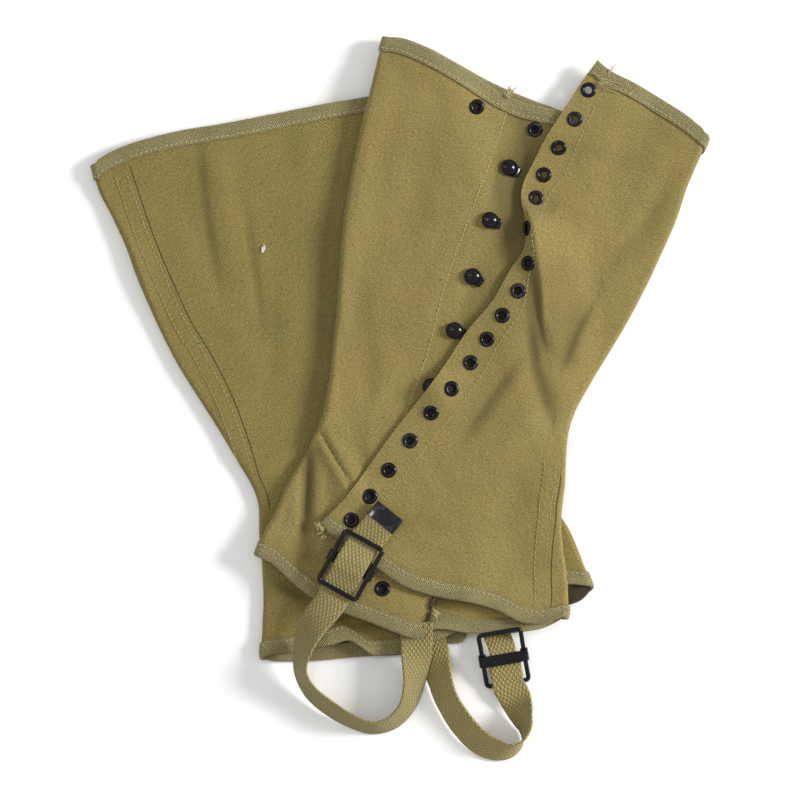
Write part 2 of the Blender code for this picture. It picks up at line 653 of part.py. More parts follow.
def straps():
    a, b = SEAT_A, SEAT_B
    root_a = [(10.5, y, on_hem(PLACE_A, a_back_height, 10.5, y), 0) for y in (-140.5, -147)]
    root_b = [(x, y, on_hem(PLACE_B, b_under_height, 19, -152), 0)
              for x, y in ((17.4, -142.5), (19.3, -153), (20.0, -156.5))]
    strap_a = root_a + [
        (10.5, -157, 14.8, 12), (10.2, -166.1, 13.2, 30), (8.9, -180, 11.6, 50),
        (4.4, -194, 10.5, 60), (-5.1, -204.2, 10.3, 64), (-17.8, -207.3, 10.3, 66),
        (-31.8, -202.6, 10.4, 64), (-45.1, -194.6, 10.6, 61), (-56.5, -184.5, 12.4, 64),
        (-62.9, -171.1, 16.6, 68), (-61.2, -157, 19.6, 56), (-54.6, -141.5, 20.4, 30),
        a.station(0.2, -27, -2.6, 8), a.station(0, -18, -2.5), a.station(0, -10, -0.8),
        a.station(0, -4, 1.1), a.station(0, 0, 1.2), a.station(0, 4, 1.0),
        a.station(0.3, 10, -0.9), a.station(1.0, 18, -2.6),
        a.station(2.4, 25, -2.9), a.station(5.2, 41, -3.4)]
    strap_b = root_b + [
        (22.2, -164.8, 5.8, 20), (25.4, -177.5, 8.0, 40), (29.8, -190.2, 8.2, 44),
        (39.4, -205.4, 7.9, 40), (50.8, -216.9, 7.9, 40), (62.5, -221.6, 8.8, 48),
        (71.5, -220.6, 10.2, 66), (77.6, -215.2, 10.9, 88), (79.2, -207.5, 10.2, 112),
        (77.4, -200.5, 8.4, 134), (74.9, -193.5, 6.4, 154), (72.0, -186.8, 5.2, 172),
        b.station(0, -18, -2.7, 180), b.station(0, -11, -0.9, 180),
        b.station(0, -4.5, 1.1, 180), b.station(0, 0, 1.2, 180), b.station(0, 1.8, 1.2, 180)]
    ribbon("a_strap", strap_a, WEB_WIDTH, WEB_THICK, False)
    ribbon("b_strap", strap_b, WEB_WIDTH, WEB_THICK, True)
    ribbon("a_chape", [a.station(0, y, z) for y, z in CHAPE_A], CHAPE_WIDTH, CHAPE_THICK, True, 2)
    ribbon("b_chape", [b.station(0, -3.4, -0.7), b.station(0, 0, -0.7), b.station(0, 4.0, -0.6),
                       (63.6, -154.5, 11.2, 0), (61.6, -149, 8.8, 0), (59.6, -143.5, 6.2, 0),
                       (58.2, -138, 4.75, 0), (56.6, -131.5, 4.7, 0)],
           CHAPE_WIDTH, CHAPE_THICK, True, 2)


def strap_tip():
    """The crimped metal end of strap A: a folded sheet round the web's end."""
    inner = WEB_THICK / 2 + SEAM_GAP
    outer = inner + TIP_THICK
    end, back = TIP_THICK + SEAM_GAP, -TIP_LENGTH + TIP_THICK
    outline = ((back, inner), (SEAM_GAP, inner), (SEAM_GAP, -inner), (back, -inner),
               (back, -outer), (end, -outer), (end, outer), (back, outer))
    start = SEAT_A.point(2.4, 25, -2.9)
    stop = SEAT_A.point(5.2, 41, -3.4)
    along = (stop - start) / np.linalg.norm(stop - start)
    side = np.cross(along, (0, 0, 1))
    side /= np.linalg.norm(side)
    above = np.cross(side, along)
    half = WEB_WIDTH / 2 + 0.1
    rings = [[stop + along * y + above * z + side * x for y, z in outline] for x in (-half, half)]
    return rings_to_solid("a_strap_tip", rings, METAL_FINISH)


# Panel, its tapes, place, section, rows from tape to tape, finish
PANELS = (
    ("a_eyelet_panel", "a_eyelet", PLACE_A, flap_section, 28, CANVAS_FINISH),
    ("a_hook_panel", "a_hook", PLACE_A, hook_side_section, 28, CANVAS_FINISH),
    ("a_hook_facing", "a_facing", PLACE_A, facing_section, 28, FACING_FINISH),
    ("b_outer_panel", "b_outer", PLACE_B, b_outer_section, 22, CANVAS_FINISH),
    ("b_inner_panel", "b_inner", PLACE_B, b_inner_section, 22, CANVAS_FINISH))


def build():
    for obj in list(bpy.data.objects):
        bpy.data.objects.remove(obj)
    for name, tape_name, place, section, rows, look in PANELS:
        grid, normals = wall_grid(place, section, rows)
        panel(name, grid, normals, look)
        binding(tape_name + "_hem_tape", grid, normals, False)
        binding(tape_name + "_rim_tape", grid, normals, True)
    for number, (across, up, lift) in enumerate(FLAP_EYELETS, 1):
        eyelet(f"a_flap_eyelet_{number:02d}", A_FLAP, across, up, lift)
    for number, (across, up) in enumerate(FRONT_EYELETS, 1):
        eyelet(f"a_front_eyelet_{number}", A_FRONT, across, up)
    for number, (across, up) in enumerate(HOOKS, 1):
        hook(f"a_hook_{number}", across, up)
    straps()
    strap_tip()
    for name, seat in (("a", SEAT_A), ("b", SEAT_B)):
        buckle_frame(name + "_buckle_frame", seat)
        buckle_plate(name + "_buckle_plate", seat)


build()
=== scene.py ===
"""A pair of canvas gaiters lying flat, one across the other: the dressed model.

Sizes are in millimetres in each gaiter's own plan, as in the solids: "across" runs to the right
over the gaiter and "up" from its hem to its rim. Finished points are in metres.
"""

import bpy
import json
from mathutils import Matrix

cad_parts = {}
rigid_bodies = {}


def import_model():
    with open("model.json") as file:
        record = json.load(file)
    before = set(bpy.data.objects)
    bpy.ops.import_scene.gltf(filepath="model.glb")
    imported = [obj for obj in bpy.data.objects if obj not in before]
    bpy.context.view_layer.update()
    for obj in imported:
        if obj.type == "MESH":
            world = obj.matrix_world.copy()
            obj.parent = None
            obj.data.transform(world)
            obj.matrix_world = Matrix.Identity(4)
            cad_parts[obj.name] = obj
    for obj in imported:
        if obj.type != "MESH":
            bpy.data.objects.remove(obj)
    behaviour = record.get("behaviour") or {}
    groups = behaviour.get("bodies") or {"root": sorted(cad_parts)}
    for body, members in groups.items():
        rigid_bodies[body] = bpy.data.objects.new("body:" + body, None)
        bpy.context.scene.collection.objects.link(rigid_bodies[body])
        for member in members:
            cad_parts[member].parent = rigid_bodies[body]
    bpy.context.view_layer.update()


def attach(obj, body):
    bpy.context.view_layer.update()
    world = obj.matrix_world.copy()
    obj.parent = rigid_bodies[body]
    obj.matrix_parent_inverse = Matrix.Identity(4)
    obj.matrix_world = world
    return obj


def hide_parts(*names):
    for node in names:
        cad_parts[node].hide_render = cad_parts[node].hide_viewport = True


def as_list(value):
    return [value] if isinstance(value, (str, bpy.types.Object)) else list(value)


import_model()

import json
import math
import random
from collections import namedtuple

import bmesh
import bpy
import numpy as np
from mathutils import Vector

MM = 0.001
MIDDLE = np.array((-0.23, 0.70, 0.0))   # middle of the pair's outline, which is the origin

# Cloth, tape, webbing and metal, as in the solids
CANVAS, TAPE, SEAM_GAP = 1.2, 0.8, 0.35
TAPE_WIDTH = 9.5
CLOTH_INSET = TAPE + SEAM_GAP
TAPE_REACH = CANVAS / 2 + SEAM_GAP + TAPE
WEB_WIDTH, WEB_THICK = 20.4, 1.6
CHAPE_WIDTH, CHAPE_THICK = 17.0, 1.2
GAITER_HEIGHT = 335.0
TUBE_GAP = 4.9          # between the middles of a flattened tube's two walls
FLAP_LIFT = 2.7         # of the flap over the hook facing
SEAM_INSIDE = 6.5       # a side seam's least distance from the outline
ON_TOP = CANVAS + 0.8   # from the lower gaiter's upper wall to the wall that lies on it
BUCKLE_A_HEIGHT, BUCKLE_B_HEIGHT = 23.8, 9.6
PLATE_LENGTH, PLATE_THICK = 7.5, 0.7
TIP_LENGTH, TIP_THICK = 10.0, 0.6
# The buckle's wire is a little fuller than in the solids
WIRE, FRAME_WIDTH, FRAME_LENGTH = 2.9, 29.8, 38.8
PIERCED_RADIUS = 3.4    # of the hole in the cloth behind an eyelet

# Where one height eases into another, from and to
BOUND_EASE = (11.0, 27.0)       # away from a bound edge
INNER_EASE = (4.0, 22.0)        # into a gaiter from its outline
DOWN_EASE = (-54.0, -14.0)      # of the crossing gaiter, outside the lower one's outline
PLACKET_EASE = (-3.0, 9.0)      # over the stitch line of the hook facing
FACING_EASE = (14.0, 40.0)      # beyond the free edge of the hook facing
CALM_HEM, CALM_RIM = 8.0, 318.0     # heights beyond which the underside lies flat
UNDER_RISE = 0.3                # of the underside, off what it lies on

# Fineness of the dressed cloth
ROWS = 190              # of a panel, from hem to rim
FINE = 5                # columns for one column of the solid
ROLL_STEPS = 18
WEB_STEPS = 14          # between two stations of a web
CORNER_POINTS = 9       # along a buckle's bent corner
EYELET_SIDES, HOOK_SIDES, TONGUE_SIDES, HOLE_SIDES = 36, 48, 16, 20
STITCH_SIDES, THREAD_SIDES = 6, 5

Place = namedtuple("Place", "x y lean")
PLACE_A = Place(7.6, -114.6, 15.0)
PLACE_B = Place(17.1, -140.7, -19.0)


def curve(rows):
    """A smooth function through rows of (position, value), level beyond both ends."""
    xs = np.array([row[0] for row in rows], float)
    ys = np.array([row[1] for row in rows], float)
    slopes = np.gradient(ys, xs)

    def read(x):
        x = np.clip(np.asarray(x, float), xs[0], xs[-1])
        i = np.clip(np.searchsorted(xs, x) - 1, 0, len(xs) - 2)
        span = xs[i + 1] - xs[i]
        f = (x - xs[i]) / span
        return ((1 + 2 * f) * (1 - f) ** 2 * ys[i] + f * (1 - f) ** 2 * span * slopes[i]
                + f * f * (3 - 2 * f) * ys[i + 1] + f * f * (f - 1) * span * slopes[i + 1])
    return read


def columns(rows, *picked):
    """Smooth functions of the first column, one for each picked column."""
    return [curve([(row[0], row[n]) for row in rows]) for n in picked]


def soft_step(low, high, x):
    """0 below low, 1 above high, with a soft rise between them."""
    f = np.clip((x - low) / (high - low), 0.0, 1.0)
    return f * f * (3 - 2 * f)


# Gaiter A, the crossing one. Sides: up, left edge, right edge
A_SIDES = (
    (-12, -100.5, 100.5), (5, -98.5, 100.5), (20, -95.0, 97.0), (37, -92.5, 90.5),
    (53, -88.5, 84.0), (68, -85.0, 79.7), (84, -82.5, 78.0), (100, -83.0, 74.5),
    (112, -84.0, 72.6), (125, -86.0, 72.0), (140, -88.5, 74.2), (155, -91.0, 78.8),
    (175, -95.0, 84.3), (195, -98.7, 89.8), (215, -101.7, 94.5), (240, -104.0, 99.0),
    (265, -105.6, 102.8), (295, -106.0, 104.6), (318, -106.4, 109.0))
# Hems and rims: across, up
A_FRONT_HEM = ((-100.5, -9.7), (-88, -12.5), (-75, -19.4), (-59, -26.2), (-38, -30.5),
               (-22, -31.8), (0, -34.0), (9, -34.5), (17, -31.6))
A_BACK_HEM = ((-100.5, -9.7), (-88, -10.5), (-66, -19), (-38, -26), (0, -29), (17, -28),
              (21, -26), (43, -22.5), (57, -19), (70, -15), (75, -13), (93.5, -2.6), (100.5, 5.2))
A_FLAP_HEM = ((-65.3, 20.6), (-58, 15.5), (-47.7, 13), (-37, 8), (-21.4, 1.5), (-4.5, -4.2),
              (17, -5.3), (38, -3.4), (57, -3.8), (74, -7), (90, -2.2), (100.5, 5.2))
A_FRONT_RIM = ((-106.4, 326), (-104, 328), (-99, 329), (-89, 329), (-69, 326), (-48, 320),
               (-30.5, 314.5), (-19, 312), (12, 312), (40, 312))
A_BACK_RIM = ((-106.4, 326), (-104, 328.5), (-99, 330), (-80, 329), (-58, 324), (-37, 319),
              (-18, 316), (8, 313), (40, 311), (75, 311), (109, 317))
A_FLAP_RIM = ((28, 349), (34, 346), (55, 341), (76, 335), (98, 327), (105, 323), (109, 317))
# Up, across
A_STITCH_LINE = ((-34, -34), (96, -30.5), (146, -27), (183, -27.7), (215, -25.3), (245, -22.6),
                 (270, -20.1), (302, -18.5), (315, -19))
A_FLAP_EDGE = ((20.6, -65.3), (38, -55.5), (47, -51.5), (66, -44.2), (90, -35.1), (107.5, -27.5),
               (135, -16.3), (161, -7.6), (184, 3.1), (207, 9.3), (221, 14.1), (228, 13.9),
               (236, 12.1), (242, 9.1), (250, 4.7), (256, 3), (262.5, 2.9), (277, 5.9),
               (294, 9.4), (312, 15.2), (331, 21.1), (349, 28))
A_SEAM = ((-8, 88), (10.6, 87.4), (26, 83.6), (41.5, 80.5), (52, 79.3), (68, 78.8), (330, 120))
# The turned-back crest of the flap: up, across, height over the flap
A_CREST = (
    (-5, 0, 0), (40, 10, 0), (70, 30, 0), (95, 52, 0), (116, 61, 2), (135, 58.6, 4),
    (147, 55, 5.2), (164, 45.5, 7), (175.5, 39, 8.6), (200, 31.2, 11), (218, 22.5, 12.5),
    (228, 17.7, 13), (236, 14.2, 11), (242, 11.2, 6.4), (249, 9, 1.6), (258, 9, 0), (290, 20, 0),
    (320, 35, 0), (349, 45, 0))
CREST_FALL = 42.0       # how far the cloth takes to come down beyond the crest
FACING_WIDTH = 50.5     # hook facing, from the stitch line to its free edge

# The sewn-down lap of the side seam below the knee, to its dark edge
A_LAP = ((-8, 88), (11, 87.8), (26, 83.6), (41.5, 80.3), (52, 78.5), (66, 76.6), (77, 75),
         (100, 72))
# How far the stitch row beside the eyelets lies from the flap's edge: up, distance
A_FLAP_ROW = ((12, 21), (168, 21.5), (185, 19), (203, 13.4), (218, 8), (233, 3.8), (242, 9),
              (252, 15), (330, 15.8))

# Gaiter B, the lower one. Sides: up, left edge, right edge
B_SIDES = (
    (-14, -107.2, 106.6), (12, -107.1, 105.5), (27, -101.4, 104.3), (47, -93.4, 98.0),
    (60, -89.5, 94.0), (72, -86.0, 90.5), (87, -82.6, 87.0), (96, -79.5, 85.3),
    (105, -76.7, 84.2), (115, -76.6, 84.2), (136, -80.6, 87.0), (158, -85.2, 90.0),
    (180, -90.4, 94.0), (202, -95.6, 98.0), (223, -99.0, 101.0), (244, -101.2, 103.0),
    (265, -102.8, 104.0), (290, -103.4, 105.0), (308, -105.2, 106.4), (328, -107.8, 107.8),
    (339, -106.9, 107.8))
B_TOP_HEM = ((-107.1, 12.7), (-97.5, 12.3), (-85.6, 9.5), (-72, 8), (-61, 6), (-49, 3.8),
             (-44.8, -1.4), (-39.8, -8.4), (-35, -10), (-23, -13.5), (0, -12.5), (14, -12),
             (26, -8), (35, -6), (56, -9), (75, -9), (92, -6.5), (100, -9.6), (106.6, -13.2))
B_UNDER_HEM = ((-107.1, 12.7), (-104, 10.3), (-90.4, 4.6), (-72, -1), (-52.4, -5.8),
               (-35, -10.7), (-23, -14.5), (0, -14.5), (8, -17), (14, -19.5), (19, -18.5),
               (25, -12), (30, -8), (45, -9), (56, -11), (75, -15), (88.7, -19.4), (101, -17.3),
               (106.6, -13.2))
B_RIM = ((-106.9, 339), (-103.2, 344), (-98.6, 345.6), (-83, 347.6), (-63, 347), (-43.8, 345),
         (-24.7, 341.6), (13.6, 336), (52, 330.6), (73.7, 327), (107.8, 325))
B_SEAM = ((12, -106), (105, -73), (114, -71.8), (142, -69.9), (160, -69.8), (177, -70.6),
          (195, -73), (211.5, -75.9), (226, -79.3), (252, -82.2), (276, -84.1), (339, -84.4))
B_OPENING = 20.0        # across, where the two panels meet underneath

# Creases: a run of (across, up) points, half width, height (negative is a trough), and
# whether it fades in and out along its run
Crease = namedtuple("Crease", "run width height fades", defaults=(True,))
A_HOOK_SIDE_CREASES = (
    Crease(((-99, 300), (-90, 150)), 9, 1.4, False),
    Crease(((-90, 105), (-52, 46)), 10, 3.0, False),
    Crease(((-74, 88), (-46, 58)), 8, -1.2, False),
    Crease(((-83, 60), (-70, 0)), 8, -1.4, False),
    Crease(((-88, 79), (-68, 59), (-50, 40)), 3.4, 0.9),
    Crease(((-86, 82), (-65.5, 61), (-47, 43)), 1.5, -2.3),
    Crease(((-86, 66), (-79, 38), (-73, 4)), 3.0, -2.4),
    Crease(((-88, 50), (-84, 30), (-79, 8)), 4.0, 0.9),
    Crease(((-78, 62), (-72, 38), (-66, 16)), 4.0, 0.9),
    Crease(((-78, 84), (-68, 76), (-60, 72)), 3.0, -0.8),
    Crease(((-60, 46), (-50, 22), (-44, 4)), 6, 0.7),
    Crease(((-105, 296), (-97, 234), (-94, 186)), 4, 0.7),
    Crease(((-92, 190), (-78, 165), (-70, 130)), 9, -0.6),
    Crease(((-60, 300), (-58, 240), (-50, 190)), 9, -0.5),
    Crease(((-75, 320), (-80, 270), (-76, 215)), 7, 0.5),
    Crease(((-31, 250), (-34, 200), (-38, 150)), 6, 0.5),
    Crease(((-70, 150), (-58, 118), (-50, 90)), 6, -0.7),
    Crease(((-44, 130), (-52, 104), (-48, 76)), 4, 0.6),
    Crease(((-88, 20), (-60, 8), (-40, -8)), 7, 0.5))
A_PLACKET_CREASES = (
    Crease(((-14, 318), (-2, 262), (4, 205)), 12, -2.4),
    Crease(((-16, 290), (-15, 262), (-10, 240)), 3.4, -0.8),
    Crease(((-14, 300), (-12, 270)), 7, 0.8),
    Crease(((-22, 262), (-24, 214), (-25, 166)), 4, 0.6),
    Crease(((-8, 214), (-10, 180), (-14, 142)), 6, -0.7),
    Crease(((-28, 190), (-16, 178)), 5, 0.4))
A_FLAP_CREASES = (
    Crease(((22, 208), (50, 158)), 6, -1.6),
    Crease(((27, 184), (62, 118)), 7, -2.0),
    Crease(((30, 156), (6, 88)), 7, -1.0),
    Crease(((63, 200), (55, 148)), 7, -1.4),
    Crease(((22, 209), (31, 186), (40, 169), (50, 158)), 2.6, -1.0),
    Crease(((28, 207), (38, 184), (48, 166)), 3.2, 0.9),
    Crease(((26, 185), (34, 164), (40, 149), (52, 131), (63, 117)), 3.0, -1.2),
    Crease(((34, 180), (44, 155), (58, 134)), 3.6, 0.9),
    Crease(((31, 157), (24, 140), (18, 123), (12, 105), (6, 88)), 2.0, -0.8),
    Crease(((36, 150), (27, 124), (14, 88)), 4.0, 0.55),
    Crease(((68, 214), (60, 180), (56, 148)), 2.6, -1.0),
    Crease(((20, 226), (31.2, 200), (39, 175.5), (47, 160), (57, 141)), 2.0, 0.5),
    Crease(((96, 290), (80, 250), (62, 206), (50, 180)), 5.0, -0.6),
    Crease(((25, 258), (22, 244)), 4.0, -0.7),
    Crease(((70, 232), (62, 190), (64, 160)), 7, 0.7),
    Crease(((52, 328), (60, 300), (58, 262)), 8, -0.5),
    Crease(((84, 312), (76, 270), (72, 236)), 8, 0.6),
    Crease(((92, 300), (88, 262), (82, 232)), 5, -0.5),
    Crease(((40, 300), (38, 268)), 8, 0.4),
    Crease(((40, 100), (52, 70), (50, 36)), 9, -0.5),
    Crease(((20, 70), (28, 40), (22, 14)), 8, 0.4),
    Crease(((-5, 18), (8, 26), (19, 31)), 3, 0.5),
    Crease(((-30, 30), (-8, 38), (20, 36)), 5, -0.5),
    Crease(((64, 96), (68, 60), (70, 28)), 5, 0.5),
    Crease(((-10, 86), (4, 66), (24, 58)), 5, -0.35))
B_CREASES = (
    Crease(((-35, 345), (-44, 310), (-50, 280), (-59, 225)), 3.4, -1.2),
    Crease(((-22, 292), (-30, 250), (-40, 200)), 3.0, -0.9),
    Crease(((-40, 340), (-52, 300), (-60, 250)), 8, -0.5),
    Crease(((-102, 320), (-97, 230)), 7, 1.0),
    Crease(((-24, 334), (-33, 300), (-40, 268), (-46, 236)), 6, 0.8),
    Crease(((54, 315), (26, 274), (12, 246), (-5, 198), (-27, 158), (-49, 126)), 12, -1.0),
    Crease(((-103, 309), (-98, 243)), 3, 0.6),
    Crease(((-64, 250), (-58, 214), (-48, 180)), 8, 0.7),
    Crease(((-70, 300), (-66, 262)), 9, 0.5),
    Crease(((-20, 240), (-34, 196), (-52, 158)), 6, -0.5),
    Crease(((-66, 130), (-52, 104), (-56, 70)), 8, 0.6),
    Crease(((-62, 90), (-70, 60), (-68, 30)), 7, -0.6),
    Crease(((-78, 60), (-84, 30)), 5, 0.5),
    Crease(((20, 330), (12, 290)), 8, -0.5))
# Where the cloth is darkened with painted shade, on the crest's steep side and in the hollows under
# the flap's edge and under the crossing gaiter's hem: a run, half width, and how dark
A_FLAP_PAINTED_SHADE = (
    Crease(((19, 219), (26.5, 197), (33, 178)), 6, 0.7),
    Crease(((36, 226), (46, 202), (58, 164)), 13, 0.42),
    Crease(((14, 262), (15, 240)), 5, 0.3))
A_FACING_PAINTED_SHADE = (
    Crease(((-2, 262), (8, 225), (4, 190), (-14, 140), (-40, 80)), 9, 0.34),
    Crease(((12, 330), (4, 290), (-2, 262)), 8, 0.25))
B_PAINTED_SHADE = (
    Crease(((-84, 57), (-76, 46), (-66, 36)), 3.2, 1.0),
    Crease(((-60, 12), (-40, 10), (-20, 8)), 5, 0.6))
# The shade on the tape inside the lower gaiter's hem, at the right
B_MOUTH = Crease(((86, -13), (96, -13), (106, -10)), 8, 1.6, False)
# Creases of the undersides, where the cloth rises a little
UNDER_CREASES = (
    Crease(((-60, 320), (-40, 240), (-52, 170)), 12, 0.9),
    Crease(((10, 310), (-6, 250), (4, 190)), 9, 0.7),
    Crease(((60, 280), (70, 210), (58, 150)), 11, 0.9),
    Crease(((-50, 140), (-20, 90), (-30, 40)), 9, 0.8),
    Crease(((30, 130), (52, 80), (40, 34)), 8, 0.7),
    Crease(((80, 130), (30, 110), (-40, 120)), 5, 0.5),
    Crease(((-85, 230), (-70, 180)), 6, 0.6),
    Crease(((88, 60), (60, 40)), 6, 0.5))
# The lower gaiter's arched hem, the straps' roots inside the hems, the hook under the flap
B_ARCH = Crease(((-66, 5), (-46, 1)), 12, 3.4, False)
B_ROOTS = Crease(((-4, -12), (46, -12)), 26, 1.7, False)
A_ROOT = Crease(((6, -30), (12, -28)), 26, 2.2, False)
HALF_HIDDEN_HOOK = Crease(((-20, 123), (-16, 121)), 12, 5.2, False)

a_left, a_right = columns(A_SIDES, 1, 2)
b_left, b_right = columns(B_SIDES, 1, 2)
a_crest, a_crest_height = columns(A_CREST, 1, 2)
a_front_hem, a_back_hem, a_flap_hem = curve(A_FRONT_HEM), curve(A_BACK_HEM), curve(A_FLAP_HEM)
a_front_rim, a_back_rim, a_flap_rim = curve(A_FRONT_RIM), curve(A_BACK_RIM), curve(A_FLAP_RIM)
a_stitch, a_flap_edge, a_seam_line = curve(A_STITCH_LINE), curve(A_FLAP_EDGE), curve(A_SEAM)
a_lap_line, a_flap_row = curve(A_LAP), curve(A_FLAP_ROW)
b_top_hem, b_under_hem = curve(B_TOP_HEM), curve(B_UNDER_HEM)
b_rim, b_seam_line = curve(B_RIM), curve(B_SEAM)


def turn_of(place):
    """Cosine and sine of a gaiter's lean."""
    return math.cos(math.radians(place.lean)), math.sin(math.radians(place.lean))


def to_world(place, across, up):
    """Where a plan point lies on the surface, x and y in millimetres."""
    c, s = turn_of(place)
    return place.x + across * c + up * s, place.y - across * s + up * c


def to_plan(place, x, y):
    """The plan point over an x and y on the surface."""
    c, s = turn_of(place)
    return (x - place.x) * c - (y - place.y) * s, (x - place.x) * s + (y - place.y) * c


def crease_height(crease, across, up):
    """Height that one soft ridge or trough adds."""
    nearest = np.full(np.shape(across + up), np.inf)
    travelled = np.zeros_like(nearest)
    for leg, ((a0, u0), (a1, u1)) in enumerate(zip(crease.run, crease.run[1:])):
        da, du = a1 - a0, u1 - u0
        along = np.clip(((across - a0) * da + (up - u0) * du) / (da * da + du * du), 0, 1)
        gap = (across - a0 - along * da) ** 2 + (up - u0 - along * du) ** 2
        travelled = np.where(gap < nearest, (leg + along) / (len(crease.run) - 1), travelled)
        nearest = np.minimum(nearest, gap)
    fading = soft_step(-0.1, 0.35, travelled) * (1 - soft_step(0.65, 1.1, travelled))
    return crease.height * np.exp(-nearest / crease.width ** 2) * (fading if crease.fades else 1)


def creases_height(creases, across, up):
    return sum(crease_height(crease, across, up) for crease in creases)


def slack(across, up, phase):
    """The low unevenness of washed cloth that was laid down by hand."""
    return (0.16 * np.sin(across / 11.0 + up / 23.0 + phase)
            + 0.12 * np.sin(across / 6.1 - up / 14.0 + 2.1 * phase)
            + 0.08 * np.sin(up / 5.3 + across / 17.0 + 3.3 * phase)
            + 0.05 * np.sin(across / 2.9 + up / 4.1 + 1.7 * phase))


def bound_zone(from_edge):
    """1 where a bound edge makes the cloth thicker, fading to 0 further in."""
    return 1.0 - soft_step(*BOUND_EASE, np.abs(from_edge))


# Heights of the lower gaiter's walls, and of their middle layer without folds
def b_zone(across, up, hem):
    return np.maximum(bound_zone(up - hem(across)), bound_zone(b_rim(across) - up))


def b_under_calm(across, up):
    return CANVAS / 2 + CLOTH_INSET * b_zone(across, up, b_under_hem)


def inner_share(across, up, left, right):
    """1 well inside a gaiter's outline, 0 at its rolled sides, hem and rim."""
    sides = np.minimum(across - left(up), right(up) - across)
    ends = np.minimum(up - CALM_HEM, CALM_RIM - up)
    return soft_step(*INNER_EASE, np.minimum(sides, ends))


def b_under_height(across, up):
    rise = creases_height(UNDER_CREASES, across, up) + UNDER_RISE + slack(across, up, 0.7)
    return b_under_calm(across, up) + rise * inner_share(across, up, b_left, b_right)


def b_calm_height(across, up):
    """The lower gaiter's upper wall without its folds, which carries the crossing gaiter."""
    return (b_under_calm(across, up) + TUBE_GAP + crease_height(B_ARCH, across, up)
            + crease_height(B_ROOTS, across, up))


def b_top_height(across, up):
    return (b_calm_height(across, up) + creases_height(B_CREASES, across, up)
            + slack(across, up, 0.0))


def over_b(x, y):
    """How far a point is inside the lower gaiter's outline, up to 1, and the height there."""
    across, up = to_plan(PLACE_B, x, y)
    inside = np.minimum(np.minimum(across - b_left(up), b_right(up) - across),
                        np.minimum(up - b_top_hem(across), b_rim(across) - up))
    carried = (b_calm_height(across, up) + ON_TOP
               + CLOTH_INSET * b_zone(across, up, b_top_hem))
    return soft_step(*DOWN_EASE, inside), carried


# Heights of the crossing gaiter's walls
def a_back_calm(across, up):
    share, carried = over_b(*to_world(PLACE_A, across, up))
    zone = np.maximum(bound_zone(up - a_back_hem(across)), bound_zone(a_back_rim(across) - up))
    return (1 - share) * CANVAS / 2 + share * carried + CLOTH_INSET * zone


def a_back_height(across, up):
    rise = creases_height(UNDER_CREASES, -across, up) + UNDER_RISE + slack(across, up, 1.9)
    return a_back_calm(across, up) + rise * inner_share(across, up, a_left, a_right)


def a_front_calm(across, up):
    return a_back_calm(across, up) + TUBE_GAP + crease_height(A_ROOT, across, up)


def a_front_height(across, up):
    placket = soft_step(*PLACKET_EASE, across - a_stitch(up))
    return (a_front_calm(across, up) + creases_height(A_HOOK_SIDE_CREASES, across, up)
            + placket * creases_height(A_PLACKET_CREASES, across, up)
            + slack(across, up, 3.1))


def crest_height(across, up):
    """The flap's turned-back crest: steep on its free side, soft beyond."""
    edge, crest = a_flap_edge(up), a_crest(up)
    share = np.clip((across - edge + 2.0) / (crest - edge + 3.0), 0.0, 1.0)
    steep = 0.8 * share + 0.2 * soft_step(0.0, 1.0, share)
    beyond = 1 - soft_step(-1.0, CREST_FALL, across - crest)
    return np.maximum(a_crest_height(up), 0.0) * np.where(across <= crest, steep, beyond)


def a_flap_height(across, up):
    on_facing = 1 - soft_step(*FACING_EASE, across - a_stitch(up) - FACING_WIDTH)
    own_zone = np.maximum(bound_zone(up - a_flap_hem(across)), bound_zone(a_flap_rim(across) - up))
    facing_zone = np.maximum(bound_zone(up - a_front_hem(across)),
                             bound_zone(a_front_rim(across) - up))
    return (a_front_calm(across, up) + creases_height(A_HOOK_SIDE_CREASES[:4], across, up)
            + on_facing * (FLAP_LIFT + CLOTH_INSET * facing_zone)
            + CLOTH_INSET * own_zone + crest_height(across, up)
            + crease_height(HALF_HIDDEN_HOOK, across, up)
            + creases_height(A_FLAP_CREASES, across, up) + slack(across, up, 4.4))


Face = namedtuple("Face", "hem rim height")
A_BACK = Face(a_back_hem, a_back_rim, a_back_height)
A_FRONT = Face(a_front_hem, a_front_rim, a_front_height)
A_FLAP = Face(a_flap_hem, a_flap_rim, a_flap_height)
B_TOP = Face(b_top_hem, b_rim, b_top_height)
B_UNDER = Face(b_under_hem, b_rim, b_under_height)


def on_face(face, across_at, share):
    """The points of a column, given by across_at(up), at shares of the height from the hem."""
    up = share * GAITER_HEIGHT
    for _ in range(8):
        across = across_at(up)
        up = (1 - share) * face.hem(across) + share * face.rim(across)
    return across, up, face.height(across, up)


def flat_run(face, start, end, count, share):
    """Columns from start to end over a face, both ends included."""
    def between(f):
        return lambda up: (1 - f) * start(up) + f * end(up)
    return [on_face(face, between(k / count), share) for k in range(count + 1)]


def roll_start(edge, side, upper, lower, share):
    """Where a face turns into the roll at the tube's edge, as a column; side is -1 or 1."""
    across, up, height = on_face(upper, lambda v: edge(v) - side * 3.0, share)
    turn_in = side * ((height - lower.height(across, up)) / 2 + CANVAS / 2)
    order = np.argsort(up)
    return lambda v: edge(v) - np.interp(v, up[order], turn_in[order])


def roll(start, side, first, second, share):
    """Half a turn from the end of one face to the start of the other, ends left out."""
    a1, up1, z1 = on_face(first, start, share)
    a2, up2, z2 = on_face(second, start, share)
    points = []
    for k in range(1, ROLL_STEPS):
        turn = math.pi * k / ROLL_STEPS
        f = (1 - math.cos(turn)) / 2
        points.append((a1 + f * (a2 - a1) + side * np.abs(z1 - z2) / 2 * math.sin(turn),
                       up1 + f * (up2 - up1), z1 + f * (z2 - z1)))
    return points


def a_seam(up):
    return np.minimum(a_seam_line(up), a_right(up) - SEAM_INSIDE)


